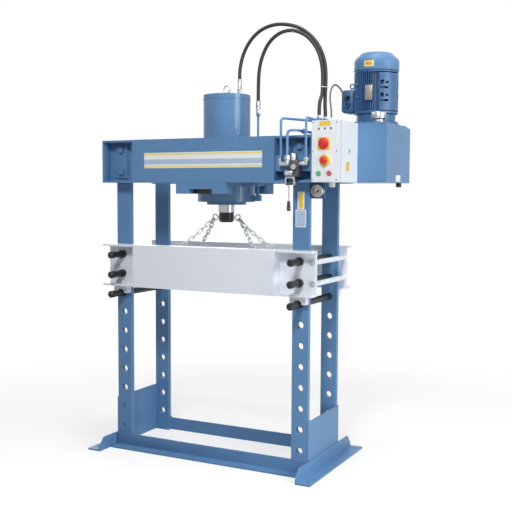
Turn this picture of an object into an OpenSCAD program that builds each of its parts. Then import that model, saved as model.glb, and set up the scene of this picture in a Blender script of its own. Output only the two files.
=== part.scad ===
// Hydraulic workshop press with H-frame, raised cylinder and motor pump unit on the crown.
// X is to the right, -Y is the front, Z is up. The origin is on the floor under the ram.

/* [Frame] */
// Clear width between the left and right columns
clear_w = 1100; // [1080:5:1120]
// Width of a column bar
col_w = 100; // [94:1:106]
// Thickness of a column bar
col_t = 30; // [25:1:35]
// Depth over the outer faces of the columns
frame_d = 454; // [444:2:470]
// Diameter of the pin holes
hole_d = 40; // [36:0.5:42]
// Spacing of the pin holes
hole_pitch = 120; // [118:0.5:122]
// Height of the lowest pin hole
hole_z0 = 131; // [125:1:138]
// Number of pin holes up a column
hole_n = 10; // [10:1:11]
// Thickness of the side gussets
gusset_t = 8; // [6:1:10]
// Height of the side gussets
gusset_h = 305; // [260:5:340]
// Height and width of the base angles
angle_leg = 80; // [74:1:90]
// Thickness of the base angles
angle_t = 10; // [8:1:12]
// Width of a foot on the floor
foot_w = 90; // [84:1:100]
// Length of a foot from front to back
foot_len = 824; // [800:2:860]
// Diameter of the anchor holes
anchor_d = 18; // [14:1:22]

/* [Crown] */
// Height of the crown underside above the floor
crown_z = 1650; // [1645:1:1670]
// Height of the crown and table channels
beam_h = 256; // [248:2:262]
// Width of a channel flange
flange_w = 82; // [78:1:86]
// Thickness of a channel flange
flange_t = 12; // [10:0.5:14]
// Thickness of a channel web
web_t = 10; // [8:0.5:12]
// Overhang of the beams beyond the columns
overhang = 50; // [47:1:54]
// Length of the cover plates
cover_w = 950; // [930:2:960]
// Thickness of the cover plates
cover_t = 8; // [6:0.5:10]
// Diameter of the crown bolts
bolt_d = 24; // [20:1:25]
// Width of the head block across the press
head_w = 330; // [320:2:350]
// Height of the head block
head_h = 65; // [60:1:68]

/* [Cylinder] */
// Outer diameter of the barrel
barrel_d = 288; // [280:1:296]
// Bore of the barrel
bore_d = 230; // [220:1:240]
// Diameter of the barrel flange
collar_d = 350; // [340:1:356]
// Diameter of the piston rod
rod_d = 98; // [94:1:104]
// Diameter of the ram nose
nose_d = 92; // [86:1:93]
// Length of the ram nose
nose_h = 60; // [56:1:66]

/* [Table] */
// Row of pin holes that carries the table
table_row = 7; // [6:1:7]
// Height of a saddle block from the pin axis to the table
saddle_h = 47; // [42:1:54]
// Depth of a saddle block
saddle_d = 40; // [34:1:60]
// Diameter of a pin collar
collar_pin_d = 48; // [45:0.5:52]
// Diameter of a pin knob
knob_d = 42; // [36:1:46]
// Diameter of the spacer bars
spacer_d = 30; // [26:1:36]

/* [Chains] */
// Wire thickness of a chain link
wire_d = 7; // [5.5:0.5:7.5]
// Inside width of a chain link
link_w = 14; // [13:0.5:15]
// Links in a chain, an even number
link_n = 14; // [14:2:16]

/* [Power unit] */
// Width of the oil tank
tank_w = 318; // [312:2:330]
// Depth of the oil tank
tank_d = 428; // [420:2:440]
// Height of the oil tank
tank_h = 322; // [316:2:326]
// Diameter over the motor fins
motor_d = 252; // [244:2:256]
// Diameter of the fan cowl
cowl_d = 260; // [252:2:266]
// Diameter of the filler cap
filler_d = 80; // [70:1:84]
// Width of the control cabinet
cabinet_w = 161; // [156:1:170]
// Height of the control cabinet
cabinet_h = 330; // [326:2:336]

/* [Gauge and lines] */
// Diameter of the gauge case
gauge_d = 68; // [62:1:76]
// Diameter of the steel pipes
pipe_d = 14; // [12:0.5:16]
// Diameter of the hoses
hose_d = 21; // [18:0.5:23]
// Diameter of the motor cable
cable_d = 10; // [8:0.5:11]

/* [Hidden] */
$fn = 48;
// Sub-part to draw, or all of them

// Radial gap of a running fit, of a loose pin and of a bolt in its hole
run_gap = 0.05;
pin_gap = 0.3;
bolt_gap = 0.5;

// Columns: inner edge, centre line, outer edge and half depth
x_in = clear_w / 2;
x_col = x_in + col_w / 2;
x_out = x_in + col_w;
half_d = frame_d / 2;
col_top = crown_z + beam_h - 20;

// Base
x_foot = x_out + gusset_t;
foot_nose = 25;
foot_slope = 50;
anchor_x = x_foot + foot_w - 33;
anchor_y = foot_len / 2 - 52;

// Beams
half_beam = x_out + overhang;
y_tip = half_d + flange_w;
y_front = y_tip + cover_t;
stiff_t = 10;
pad_w = 86;
pad_t = 10;
pad_edge = 28;
bolt_rise = [67, 199];
bolt_head_h = 15;
bolt_head_r = bolt_d * 0.87;
nut_h = 20;
strap_y = y_tip - 9;
strap_t = 8;
strap_rise = [62, 150];

// Head and cylinder heights
z_head = crown_z - head_h;
head_plate_t = 16;
head_plate_x = 150;
slot_w = 154;
slot_h = 27;
slot_d = 60;
collar_h = 48;
z_collar = z_head - collar_h;
gland_h = 17;
gland_r = 120;
spigot_h = 60;
barrel_rise = 500;
z_barrel = crown_z + barrel_rise;
cap_h = 29;
z_cap = z_barrel + cap_h;
cap_spigot = 14;
seal_h = 10;
seal_w = 8;
piston_h = 70;
z_piston = z_barrel - cap_spigot - piston_h - 6;
stud_r = 30;
z_rod = crown_z - 177;
z_nose = z_rod - nose_h;
nose_chamfer = 10;
nose_stud_r = 20;
nose_stud_h = 40;
barrel_gap = 0.5;
port_r = 6;
boss_x = collar_d / 2 + 7;
boss_half = 18;

// Eyes on the ram nose and on the cap
ring_r = 18;
ring_wire = 8;
ring_x = nose_d / 2 + 33;
z_ring = z_rod - 32;
eye_stem_r = 6;
eye_stem_in = 18;
lift_r = 21;
lift_wire = 10;
lift_base_h = 12;
lift_base_r = 16;
lift_stem_r = 8;
lift_gap = 3;

// Table
z_pin = hole_z0 + table_row * hole_pitch;
z_table = z_pin + saddle_h;
spacer_x = x_out + 26;
spacer_off = 60;
spacer_bolt_r = 8;
spacer_bolt_l = 30;
spacer_head_h = 10;
spacer_head_r = 15;
stud_x = 390;
chain_stud_r = 5;
chain_stud_l = 30;
chain_head_r = 10;
chain_head_t = 4;

// Pins
pin_r = hole_d / 2 - pin_gap;
pin_tail = half_d + 35;
pin_collar_l = 30;
pin_neck_r = 18.5;
pin_neck_l = 68;
pin_knob_l = 43;
pin_round = 9;

// Chains: link pitch follows from the distance between ring and stud, and from the sag
ring_tilt = [60, 32];
chain_sag = [14, 15];
chain_gap = 0.6;
end_gap = 1.6;

// Power unit
tank_x = half_beam + 12;
tank_y = -43;
tank_z = crown_z + 3;
tank_wall = 4;
tank_rim = 40;
lid_t = 10;
lid_edge = 14;
z_lid = tank_z + tank_h;
z_unit = z_lid + lid_t;
motor_x = tank_x + 177;
motor_y = 171;
bell_h = 59;
bell_r = 112;
bell_in = 60;
flange_r = 128;
bell_flange = 14;
z_motor = z_unit + bell_h;
motor_h = 246;
fin_n = 36;
fin_t = 4;
fin_h = 12;
shield_h = 24;
rotor_r = 74;
rotor_gap = 0.6;
shaft_r = 19;
z_cowl = z_motor + motor_h;
cowl_h = 104;
cowl_wall = 3;
cowl_round = 54;
cowl_steps = 6;
fan_r = 98;
fan_h = 40;
box_out = 63;
box_x = motor_x - motor_d / 2 - box_out;
box_half = 59;
box_rise = fin_h;
box_h = 133;
box_w = 72;
coupling_r = 32;
coupling_h = 20;
pump_shaft_r = 10;
pump_w = 110;
pump_h = 150;
pump_drop = 4;
strainer_r = 30;
strainer_h = 90;
filler_x = tank_x + 251;
filler_y = 12;
filler_h = 58;
filler_lift = 3;
neck_r = 24;
neck_l = 26;
drain_x = tank_x + 288;
drain_y = 270;
drain_r = 17;
drain_h = 24;

// Cabinet
cab_x = half_beam;
cab_z = crown_z + 2;
cab_back = -44;
sheet = 2;
y_panel = -y_front;
y_cab = y_panel + sheet;
screw_x = [7, cabinet_w - 17];
screw_z = [12, 165, 318];
screw_r = 5;
gland_x = 56;
gland_y = -180;
cable_gland_r = 11;
cable_gland_h = 22;
inlet_r = 17;
inlet_h = 27;
switch_x = 69;
switch_z = 206;
switch_plate = 68;
switch_r = 26;
switch_h = 20;
stem_r = 6;
estop_x = 77;
estop_z = 116;
estop_ring_r = 30;
estop_ring_h = 14;
estop_r = 19;
estop_travel = 5;
start_x = 41;
stop_x = 103;
button_z = 46;
button_r = 11;
bezel_r = 14;
bezel_h = 6;
lamp_x = [41, 76, 111];
lamp_z = 286;
lamp_r = 5.5;

// Valve
valve_x = x_col - 2;
valve_w = 78;
valve_d = 62;
valve_rise = [25, 138];
valve_y = -strap_y - valve_d / 2;
spool_r = 9;
spool_l = 104;
spool_out = 16;
lever_x = valve_x - 14;
lever_off = 12;
lever_box = 58;
lever_box_d = 40;
lever_box_h = 42;
lever_wall = 6;
lever_z = crown_z - 4;
lever_pin_r = 4;
lever_hub_r = 10;
lever_r = 5;
lever_l = 98;
grip_l = 55;
grip_r = [11, 15];

// Gauge
gauge_x = x_out + 48;
gauge_z = crown_z - 46;
gauge_y = -half_d + 22;
gauge_depth = 30;
gauge_wall = 3;
gauge_plate = 6;
gauge_pin_r = 2.5;
needle_l = 24;
lens_t = 2;

// Pipes, end blocks and hose ends
man_x = x_out - 5;
man_y = [-90, 0];
man_block = 30;
man_lift = 79;
man_z = crown_z + beam_h + man_lift;
foot_l = 15;
z_foot = man_z + man_block + foot_l;
post_r = 11;
plate_t = 8;
plate_w = 60;
bend_r = 22;
bend_swell = 0.8;
lap = 2;
line_z = man_z + man_block / 2;
side_x = 214;
side_half = 18;
side_rise = 412;
side_z = [z_collar + collar_h / 2, crown_z + side_rise];
ferrule_r = 13.5;
nut_r = 17;
top_x = 88;
top_end_l = 91;
side_end_l = 75;
z_top_end = z_cap + top_end_l;
z_side_end = side_z[1] + side_end_l;
return_x = man_x - 23;
return_y = 95;
return_lift = 25;
return_z = crown_z + beam_h + return_lift;
elbow_rise = 108;
elbow_z = crown_z + elbow_rise;
elbow = 30;
elbow_x = [valve_x - valve_w / 2 - 37, valve_x + valve_w / 2 + 35];
p3_x = valve_x - 28;
p3_y = valve_y - 20;

// Cable ends: cabinet gland top and terminal box gland
cable_start = [cab_x + gland_x, gland_y, cab_z + cabinet_h + cable_gland_h];
cable_end = [motor_x - 150, motor_y - 89, z_motor + 101];

// Routes of hoses and cable at the drawn size; their ends follow the fittings
route_a = [
  [88, 0, 2270], [88, 0, 2300], [92, 0, 2340], [102, 0, 2385], [120, 0, 2432], [148, 0, 2479],
  [186, 0, 2520], [232, 0, 2551], [284, 0, 2569], [339, 0, 2575], [394, 0, 2570], [448, 0, 2556],
  [498, 0, 2533], [543, 0, 2500], [581, 0, 2460], [611, 0, 2413], [632, 0, 2362], [643, 0, 2307],
  [646, 0, 2252], [645, 0, 2197], [643, 0, 2142], [643, 0, 2090], [645, 0, 2055], [645, 0, 2030]
];
route_b = [
  [214, 0, 2137], [214, 0, 2162], [215, -2, 2195], [218, -6, 2249], [224, -11, 2304],
  [236, -15, 2358], [256, -18, 2410], [284, -20, 2457], [322, -20, 2496], [371, -20, 2522],
  [426, -20, 2530], [479, -20, 2519], [528, -20, 2493], [568, -20, 2455], [600, -20, 2409],
  [620, -20, 2359], [631, -20, 2306], [635, -20, 2257], [635, -20, 2210], [636, -24, 2180],
  [638, -36, 2152], [640, -55, 2130], [642, -74, 2108], [644, -86, 2080], [645, -90, 2050],
  [645, -90, 2030]
];
route_c = [
  [756, -180, 2004], [756, -180, 2022], [753, -175, 2043], [747, -166, 2066], [739, -154, 2089],
  [731, -140, 2111], [725, -125, 2132], [720, -109, 2151], [717, -92, 2168], [715, -75, 2182],
  [714, -58, 2193], [715, -41, 2200], [717, -24, 2203], [719, -8, 2201], [722, 6, 2196],
  [726, 18, 2188], [729, 28, 2179], [732, 37, 2170], [735, 46, 2161], [737, 56, 2152],
  [739, 70, 2145], [739, 82, 2145]
];

function unit(v) = v / norm(v);
function run_dir(p, i) = unit(p[min(i + 1, len(p) - 1)] - p[max(i - 1, 0)]);
function side_dir(p, i, ref) = unit(cross(ref, run_dir(p, i)));
function ring_at(p, i, r, n, ref) =
  let (u = side_dir(p, i, ref), v = cross(run_dir(p, i), u))
  [for (k = [0:n - 1]) p[i] + r * (cos(360 * k / n) * u + sin(360 * k / n) * v)];
function laid(p, first, last) =
  [for (i = [0:len(p) - 1])
    let (t = i / (len(p) - 1))
    p[i] + (1 - t) * (first - p[0]) + t * (last - p[len(p) - 1])];

// One tube swept along a list of points
module tube(p, r, n, ref) {
  last = (len(p) - 1) * n;
  skin = [
    for (i = [0:len(p) - 2])
      for (k = [0:n - 1])
        [i * n + k, i * n + (k + 1) % n, (i + 1) * n + (k + 1) % n, (i + 1) * n + k]
  ];
  ends = [[for (k = [n - 1:-1:0]) k], [for (k = [0:n - 1]) last + k]];
  polyhedron(
    points = [for (i = [0:len(p) - 1]) each ring_at(p, i, r, n, ref)],
    faces = [for (f = concat(skin, ends)) [for (j = [len(f) - 1:-1:0]) f[j]]]
  );
}

// Box from its low corner to its high corner
module box(lo, hi) {
  translate(lo)
    cube(hi - lo);
}

// Cylinders along each axis between two stations
module x_cyl(r, x0, x1, y, z) {
  translate([x0, y, z])
    rotate([0, 90, 0])
      cylinder(h = x1 - x0, r = r);
}

module y_cyl(r, y0, y1, x, z) {
  translate([x, y0, z])
    rotate([-90, 0, 0])
      cylinder(h = y1 - y0, r = r);
}

module z_cyl(r, z0, z1, x = 0, y = 0) {
  translate([x, y, z0])
    cylinder(h = z1 - z0, r = r);
}

// Hexagon head along Y by its corner radius
module y_hex(r, y0, y1, x, z) {
  translate([x, y0, z])
    rotate([-90, 0, 0])
      cylinder(h = y1 - y0, r = r, $fn = 6);
}

// Places a right front piece at any corner
module corner(sx, sy) {
  mirror([sx < 0 ? 1 : 0, 0, 0])
    mirror([0, sy > 0 ? 1 : 0, 0])
      children();
}

module corners() {
  for (sx = [-1, 1])
    for (sy = [-1, 1])
      corner(sx, sy)
        children();
}

// Right front column bar
module column() {
  difference() {
    box([x_in, -half_d, 0], [x_out, -half_d + col_t, col_top]);
    for (k = [0:hole_n - 1])
      y_cyl(hole_d / 2, -half_d - 1, -half_d + col_t + 1, x_col, hole_z0 + k * hole_pitch);
    for (h = bolt_rise)
      y_cyl(bolt_d / 2 + bolt_gap, -half_d - 1, -half_d + col_t + 1, x_col, crown_z + h);
  }
}

module columns_left() {
  color("SteelBlue")
    for (sy = [-1, 1])
      corner(-1, sy)
        column();
}

module columns_right() {
  color("SteelBlue")
    for (sy = [-1, 1])
      corner(1, sy)
        column();
}

module side_gussets() {
  color("SteelBlue")
    for (sx = [-1, 1])
      corner(sx, -1)
        box([x_out, -half_d, 0], [x_out + gusset_t, half_d, gusset_h]);
}

// Front rail of the base
module rail() {
  difference() {
    box([-x_out, -half_d - angle_leg, 0], [x_out, -half_d, angle_leg]);
    box([-x_out - 1, -half_d - angle_leg - 1, angle_t],
        [x_out + 1, -half_d - angle_t, angle_leg + 1]);
  }
}

// Right foot of the base with its cut-back ends
module foot() {
  half = foot_len / 2;
  difference() {
    union() {
      translate([x_foot, 0, 0])
        rotate([90, 0, 90])
          linear_extrude(height = angle_t)
            polygon([[-half, 0], [half, 0], [half, foot_nose], [half - foot_slope, angle_leg],
                     [foot_slope - half, angle_leg], [-half, foot_nose]]);
      box([x_foot, -half, 0], [x_foot + foot_w, half, angle_t]);
    }
    for (s = [-1, 1])
      z_cyl(anchor_d / 2, -1, angle_t + 1, anchor_x, s * anchor_y);
  }
}

module base_frame() {
  color("SteelBlue") {
    for (sy = [-1, 1])
      corner(1, sy)
        rail();
    for (sx = [-1, 1])
      corner(sx, -1)
        foot();
  }
}

// Front channel with its underside at a given height
module channel(z0) {
  difference() {
    box([-half_beam, -y_tip, z0], [half_beam, -half_d, z0 + beam_h]);
    box([-half_beam - 1, -y_tip - 1, z0 + flange_t],
        [half_beam + 1, -half_d - web_t, z0 + beam_h - flange_t]);
  }
}

// Front crown channel with its bolt holes
module crown_beam() {
  difference() {
    channel(crown_z);
    for (sx = [-1, 1])
      for (h = bolt_rise)
        y_cyl(bolt_d / 2 + bolt_gap, -half_d - web_t - 1, -half_d + 1, sx * x_col, crown_z + h);
  }
}

module crown_beam_front() {
  color("SteelBlue")
    crown_beam();
}

module crown_beam_rear() {
  color("SteelBlue")
    corner(1, 1)
      crown_beam();
}

// Front cover plate of a beam
module cover(z0) {
  box([-cover_w / 2, -y_front, z0], [cover_w / 2, -y_tip, z0 + beam_h]);
}

// Plate that closes the right front pocket of a beam, its outer face at x
module pocket_plate(x, z0) {
  box([x - stiff_t, -y_tip, z0 + flange_t], [x, -half_d - web_t, z0 + beam_h - flange_t]);
}

// Washer pad under the crown bolts
module bolt_pad() {
  difference() {
    box([x_col - pad_w / 2, -half_d - web_t - pad_t, crown_z + pad_edge],
        [x_col + pad_w / 2, -half_d - web_t, crown_z + beam_h - pad_edge]);
    for (h = bolt_rise)
      y_cyl(bolt_d / 2 + bolt_gap, -half_d - web_t - pad_t - 1, -half_d, x_col, crown_z + h);
  }
}

module crown_plates() {
  color("SteelBlue") {
    for (sy = [-1, 1])
      corner(1, sy)
        cover(crown_z);
    corners() {
      pocket_plate(cover_w / 2, crown_z);
      pocket_plate(half_beam, crown_z);
      bolt_pad();
    }
    box([cover_w / 2, -strap_y, crown_z + strap_rise[0]],
        [half_beam - stiff_t, strap_t - strap_y, crown_z + strap_rise[1]]);
    box([man_x - plate_w / 2, -half_d - web_t, crown_z + beam_h],
        [man_x + plate_w / 2, half_d + web_t, crown_z + beam_h + plate_t]);
    box([half_beam, motor_y - stiff_t, tank_z], [tank_x, y_tip, crown_z + beam_h]);
  }
}

module head_block() {
  color("SteelBlue")
    difference() {
      union() {
        for (sy = [-1, 1])
          corner(1, sy)
            box([-head_w / 2, -y_front, z_head], [head_w / 2, -half_d, crown_z]);
        box([-head_plate_x, -half_d - 1, crown_z - head_plate_t],
            [head_plate_x, half_d + 1, crown_z]);
      }
      z_cyl(barrel_d / 2 + barrel_gap, z_head - 1, crown_z + 1);
      box([-slot_w / 2, -y_front - 1, z_head - 1],
          [slot_w / 2, slot_d - y_front, z_head + slot_h]);
    }
}

module frame_bolts() {
  y_pad = -half_d - web_t - pad_t;
  color("DimGray")
    corners() {
      for (h = bolt_rise) {
        y_hex(bolt_head_r, y_pad - bolt_head_h, y_pad, x_col, crown_z + h);
        y_cyl(bolt_d / 2, y_pad, col_t + nut_h - half_d, x_col, crown_z + h);
        y_hex(bolt_head_r, col_t - half_d, col_t + nut_h - half_d, x_col, crown_z + h);
      }
      for (s = [-1, 1]) {
        y_hex(spacer_head_r, -half_d - web_t - spacer_head_h, -half_d - web_t, spacer_x,
              z_table + beam_h / 2 + s * spacer_off);
        y_cyl(spacer_bolt_r, -half_d - web_t - 1, spacer_bolt_l - half_d, spacer_x,
              z_table + beam_h / 2 + s * spacer_off);
      }
    }
}

module cylinder_barrel() {
  color("SteelBlue")
    difference() {
      union() {
        z_cyl(barrel_d / 2, z_collar, z_barrel);
        z_cyl(collar_d / 2, z_collar, crown_z - head_plate_t);
        box([0, -boss_half, side_z[0] - boss_half], [boss_x, boss_half, side_z[0] + boss_half]);
      }
      z_cyl(bore_d / 2, z_collar - 1, z_barrel + 1);
      x_cyl(port_r, 0, boss_x + 1, 0, side_z[0]);
    }
}

module cylinder_cap() {
  color("SteelBlue")
    difference() {
      union() {
        z_cyl(barrel_d / 2, z_barrel, z_cap);
        z_cyl(bore_d / 2 - run_gap, z_barrel - cap_spigot, z_barrel);
      }
      z_cyl(port_r, z_barrel - cap_spigot - 1, z_cap + 1, top_x, 0);
      z_cyl(lift_stem_r + run_gap, z_barrel, z_cap + 1);
    }
}

module gland_ring() {
  z_seal = z_collar + spigot_h / 2;
  color("SteelBlue")
    difference() {
      union() {
        z_cyl(gland_r, z_collar - gland_h, z_collar);
        z_cyl(bore_d / 2 - run_gap, z_collar, z_collar + spigot_h);
      }
      z_cyl(rod_d / 2 + run_gap, z_collar - gland_h - 1, z_collar + spigot_h + 1);
      z_cyl(rod_d / 2 + seal_w, z_seal, z_seal + seal_h);
    }
}

module rod_seal() {
  z_seal = z_collar + spigot_h / 2;
  color("DimGray")
    difference() {
      z_cyl(rod_d / 2 + seal_w - run_gap, z_seal, z_seal + seal_h);
      z_cyl(rod_d / 2 + run_gap, z_seal - 1, z_seal + seal_h + 1);
    }
}

module piston() {
  z_seal = z_piston + (piston_h - seal_h) / 2;
  color("Silver")
    difference() {
      z_cyl(bore_d / 2 - run_gap, z_piston, z_piston + piston_h);
      z_cyl(stud_r + run_gap, z_piston - 1, z_piston + piston_h + 1);
      difference() {
        z_cyl(bore_d / 2 + 1, z_seal, z_seal + seal_h);
        z_cyl(bore_d / 2 - seal_w, z_seal - 1, z_seal + seal_h + 1);
      }
    }
}

module piston_seal() {
  z_seal = z_piston + (piston_h - seal_h) / 2;
  color("DimGray")
    difference() {
      z_cyl(bore_d / 2 - run_gap, z_seal, z_seal + seal_h);
      z_cyl(bore_d / 2 - seal_w + run_gap, z_seal - 1, z_seal + seal_h + 1);
    }
}

module piston_rod() {
  bar_r = 5;
  bar_z = z_rod + 12;
  color("Silver")
    difference() {
      union() {
        z_cyl(rod_d / 2, z_rod, z_piston);
        z_cyl(stud_r, z_piston, z_piston + piston_h);
      }
      z_cyl(nose_stud_r + run_gap, z_rod - 1, z_rod + nose_stud_h);
      rotate([0, 0, 40])
        y_cyl(bar_r, -rod_d, -rod_d / 2 + bar_r * 3, 0, bar_z + bar_r);
    }
}

module ram_nose() {
  color("DimGray")
    difference() {
      union() {
        translate([0, 0, z_nose])
          cylinder(h = nose_chamfer, r1 = nose_d / 2 - nose_chamfer, r2 = nose_d / 2);
        z_cyl(nose_d / 2, z_nose + nose_chamfer, z_rod);
        z_cyl(nose_stud_r, z_rod, z_rod + nose_stud_h - 1);
      }
      x_cyl(eye_stem_r + run_gap, -nose_d, -nose_d / 2 + eye_stem_in, 0, z_ring);
      x_cyl(eye_stem_r + run_gap, nose_d / 2 - eye_stem_in, nose_d, 0, z_ring);
    }
}

// Ring standing in the XZ plane
module eye_ring(x, z, r, wire) {
  translate([x, 0, z])
    rotate([90, 0, 0])
      rotate_extrude()
        translate([r, 0])
          circle(d = wire);
}

module ram_shackles() {
  color("Silver")
    for (sx = [-1, 1])
      corner(sx, -1) {
        eye_ring(ring_x, z_ring, ring_r, ring_wire);
        x_cyl(eye_stem_r, nose_d / 2 - eye_stem_in + 1, ring_x - ring_r, 0, z_ring);
      }
}

module lifting_eye() {
  stem_l = cap_h - 4;
  color("Silver") {
    z_cyl(lift_stem_r, z_cap - stem_l, z_cap + 1);
    z_cyl(lift_base_r, z_cap, z_cap + lift_base_h);
    eye_ring(0, z_cap + lift_base_h + lift_r + lift_gap, lift_r, lift_wire);
  }
}

// Front table channel with holes for pins and spacer bolts
module table_beam() {
  difference() {
    channel(z_table);
    for (sx = [-1, 1]) {
      for (k = [1, 2])
        y_cyl(hole_d / 2, -half_d - web_t - 1, -half_d + 1, sx * x_col, z_pin + k * hole_pitch);
      for (s = [-1, 1])
        y_cyl(spacer_bolt_r + bolt_gap, -half_d - web_t - 1, -half_d + 1, sx * spacer_x,
              z_table + beam_h / 2 + s * spacer_off);
    }
  }
}

module table_beam_front() {
  color("WhiteSmoke")
    table_beam();
}

module table_beam_rear() {
  color("WhiteSmoke")
    corner(1, 1)
      table_beam();
}

// Headed stud on the inner face of the front web for a chain end
module chain_stud() {
  z = z_table + beam_h / 2;
  y1 = chain_stud_l - half_d;
  y_cyl(chain_stud_r, -half_d, y1, stud_x, z);
  y_cyl(chain_head_r, y1 - chain_head_t, y1, stud_x, z);
}

module table_plates() {
  color("WhiteSmoke") {
    for (sy = [-1, 1])
      corner(1, sy)
        cover(z_table);
    corners() {
      pocket_plate(cover_w / 2, z_table);
      chain_stud();
    }
  }
}

module table_spacers() {
  color("WhiteSmoke")
    for (sx = [-1, 1])
      for (s = [-1, 1])
        difference() {
          y_cyl(spacer_d / 2, -half_d, half_d, sx * spacer_x,
                z_table + beam_h / 2 + s * spacer_off);
          for (sy = [-1, 1])
            corner(1, sy)
              y_cyl(spacer_bolt_r + bolt_gap, -half_d - 1, spacer_bolt_l + 2 - half_d,
                    sx * spacer_x, z_table + beam_h / 2 + s * spacer_off);
        }
}

// Right saddle under the front or rear beam, its notch seated on a pin of given radius
module saddle(r) {
  difference() {
    box([x_in, -half_d - saddle_d, z_pin], [x_out, -half_d, z_table]);
    y_cyl(r + pin_gap, -half_d - saddle_d - 1, -half_d + 1, x_col, z_pin);
  }
}

module saddle_blocks() {
  color("WhiteSmoke")
    for (sx = [-1, 1]) {
      corner(sx, -1)
        saddle(collar_pin_d / 2);
      corner(sx, 1)
        saddle(pin_r);
    }
}

// Locking pin with collar, neck and knob
module pin(x, k) {
  y_seat = -half_d - web_t - pin_gap;
  y_neck = y_seat - pin_collar_l;
  y_knob = y_neck - pin_neck_l;
  z = z_pin + k * hole_pitch;
  color("DimGray") {
    y_cyl(pin_r, y_seat, pin_tail, x, z);
    y_cyl(collar_pin_d / 2, y_neck, y_seat, x, z);
    y_cyl(pin_neck_r, y_knob, y_neck, x, z);
    y_cyl(knob_d / 2, y_knob - pin_knob_l + pin_round, y_knob, x, z);
    translate([x, y_knob - pin_knob_l, z])
      rotate([-90, 0, 0])
        cylinder(h = pin_round, r1 = knob_d / 2 - pin_round, r2 = knob_d / 2);
  }
}

module pin_left_upper() {
  pin(-x_col, 2);
}

module pin_left_middle() {
  pin(-x_col, 1);
}

module pin_left_lower() {
  pin(-x_col, 0);
}

module pin_right_upper() {
  pin(x_col, 2);
}

module pin_right_middle() {
  pin(x_col, 1);
}

module pin_right_lower() {
  pin(x_col, 0);
}

// One closed chain link along Z, its hole facing X
module link(inside) {
  r = (link_w + wire_d) / 2;
  half = inside / 2 - link_w / 2;
  union() {
    for (s = [0, 180])
      rotate([s, 0, 0])
        translate([0, 0, half])
          rotate([90, 0, 90])
            rotate_extrude(angle = 180)
              translate([r, 0])
                circle(d = wire_d);
    for (s = [-1, 1])
      translate([0, s * r, -half])
        cylinder(h = 2 * half, d = wire_d);
  }
}

// One slack chain from a ring on the nose to the right front or right rear stud
module chain(sy, tilt, sag) {
  ring_out = ring_wire / 2 + end_gap;
  stud_out = chain_stud_r + end_gap;
  a = [ring_x + ring_r * sin(tilt), 0, z_ring - ring_r * cos(tilt)];
  b = [stud_x, sy * (half_d - chain_stud_l / 2), z_table + beam_h / 2];
  u = unit(b - a);
  p0 = a - ring_out * u;
  span = norm(b - a) + ring_out + stud_out;
  half = 2 * atan(2 * sag / span);
  step = 2 * half / link_n;
  radius = span / 2 / sin(half);
  chord = 2 * radius * sin(step / 2);
  slope = asin(u[2]);
  turn = atan2(u[1], u[0]);
  lean0 = 90 - slope + half - step / 2;
  across = [cos(tilt), 0, sin(tilt)];
  px = across[0] * cos(lean0) * cos(turn) - across[2] * sin(lean0);
  py = -across[0] * sin(turn);
  roll = atan2(py, px);
  for (i = [0:link_n - 1])
    let (
      way = slope - half + step * (i + 0.5),
      run = radius * (cos(step / 2) * sin(way) - sin(slope - half)),
      rise = radius * (cos(slope - half) - cos(step / 2) * cos(way))
    )
      translate(p0 + [run * cos(turn), run * sin(turn), rise])
        rotate([0, 90 - way, turn])
          rotate([0, 0, roll])
            rotate([0, 0, 90 * (i % 2)])
              link(chord + chain_gap);
}

module lifting_chains() {
  color("Silver")
    for (sx = [-1, 1])
      corner(sx, -1) {
        chain(-1, ring_tilt[0], chain_sag[0]);
        chain(1, ring_tilt[1], chain_sag[1]);
      }
}

module tank() {
  x1 = tank_x + tank_w;
  y1 = tank_y + tank_d;
  color("SteelBlue")
    difference() {
      box([tank_x, tank_y, tank_z], [x1, y1, z_lid]);
      box([tank_x + tank_wall, tank_y + tank_wall, tank_z + tank_wall],
          [x1 - tank_wall, y1 - tank_wall, z_lid - tank_wall]);
      box([tank_x + tank_rim, tank_y + tank_rim, z_lid - tank_wall - 1],
          [x1 - tank_rim, y1 - tank_rim, z_lid + 1]);
      z_cyl(neck_r + run_gap, z_lid - tank_wall - 1, z_lid + 1, filler_x, filler_y);
      z_cyl(drain_r / 2 + run_gap, tank_z - 1, tank_z + tank_wall + 1, drain_x, drain_y);
    }
}

module tank_lid() {
  x1 = tank_x + tank_w - lid_edge;
  y1 = tank_y + tank_d - lid_edge;
  color("SteelBlue")
    difference() {
      box([tank_x + lid_edge, tank_y + lid_edge, z_lid], [x1, y1, z_unit]);
      z_cyl(bell_in - 10, z_lid - 1, z_unit + 1, motor_x, motor_y);
      z_cyl(neck_r + run_gap, z_lid - 1, z_unit + 1, filler_x, filler_y);
    }
}

module motor_housing() {
  core = motor_d / 2 - fin_h;
  color("SteelBlue")
    difference() {
      union() {
        z_cyl(core, z_motor, z_cowl, motor_x, motor_y);
        z_cyl(motor_d / 2, z_motor, z_motor + fin_h, motor_x, motor_y);
        z_cyl(motor_d / 2, z_cowl - fin_h, z_cowl, motor_x, motor_y);
        for (i = [0:fin_n - 1])
          translate([motor_x, motor_y, z_motor + fin_h - lap])
            rotate([0, 0, (i + 0.5) * 360 / fin_n])
              translate([core - lap, -fin_t / 2, 0])
                cube([fin_h, fin_t, motor_h - 2 * fin_h + 2 * lap]);
        box([box_x + box_w, motor_y - box_half + 8, z_motor + box_rise + 14],
            [motor_x - core + 6, motor_y + box_half - 8, z_motor + box_rise + box_h - 8]);
      }
      z_cyl(rotor_r + rotor_gap, z_motor + shield_h, z_cowl - shield_h, motor_x, motor_y);
      z_cyl(shaft_r + run_gap, z_motor - 1, z_cowl + 1, motor_x, motor_y);
      box([box_x, motor_y - box_half, z_motor + box_rise],
          [box_x + box_w, motor_y + box_half, z_motor + box_rise + box_h]);
    }
}

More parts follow.
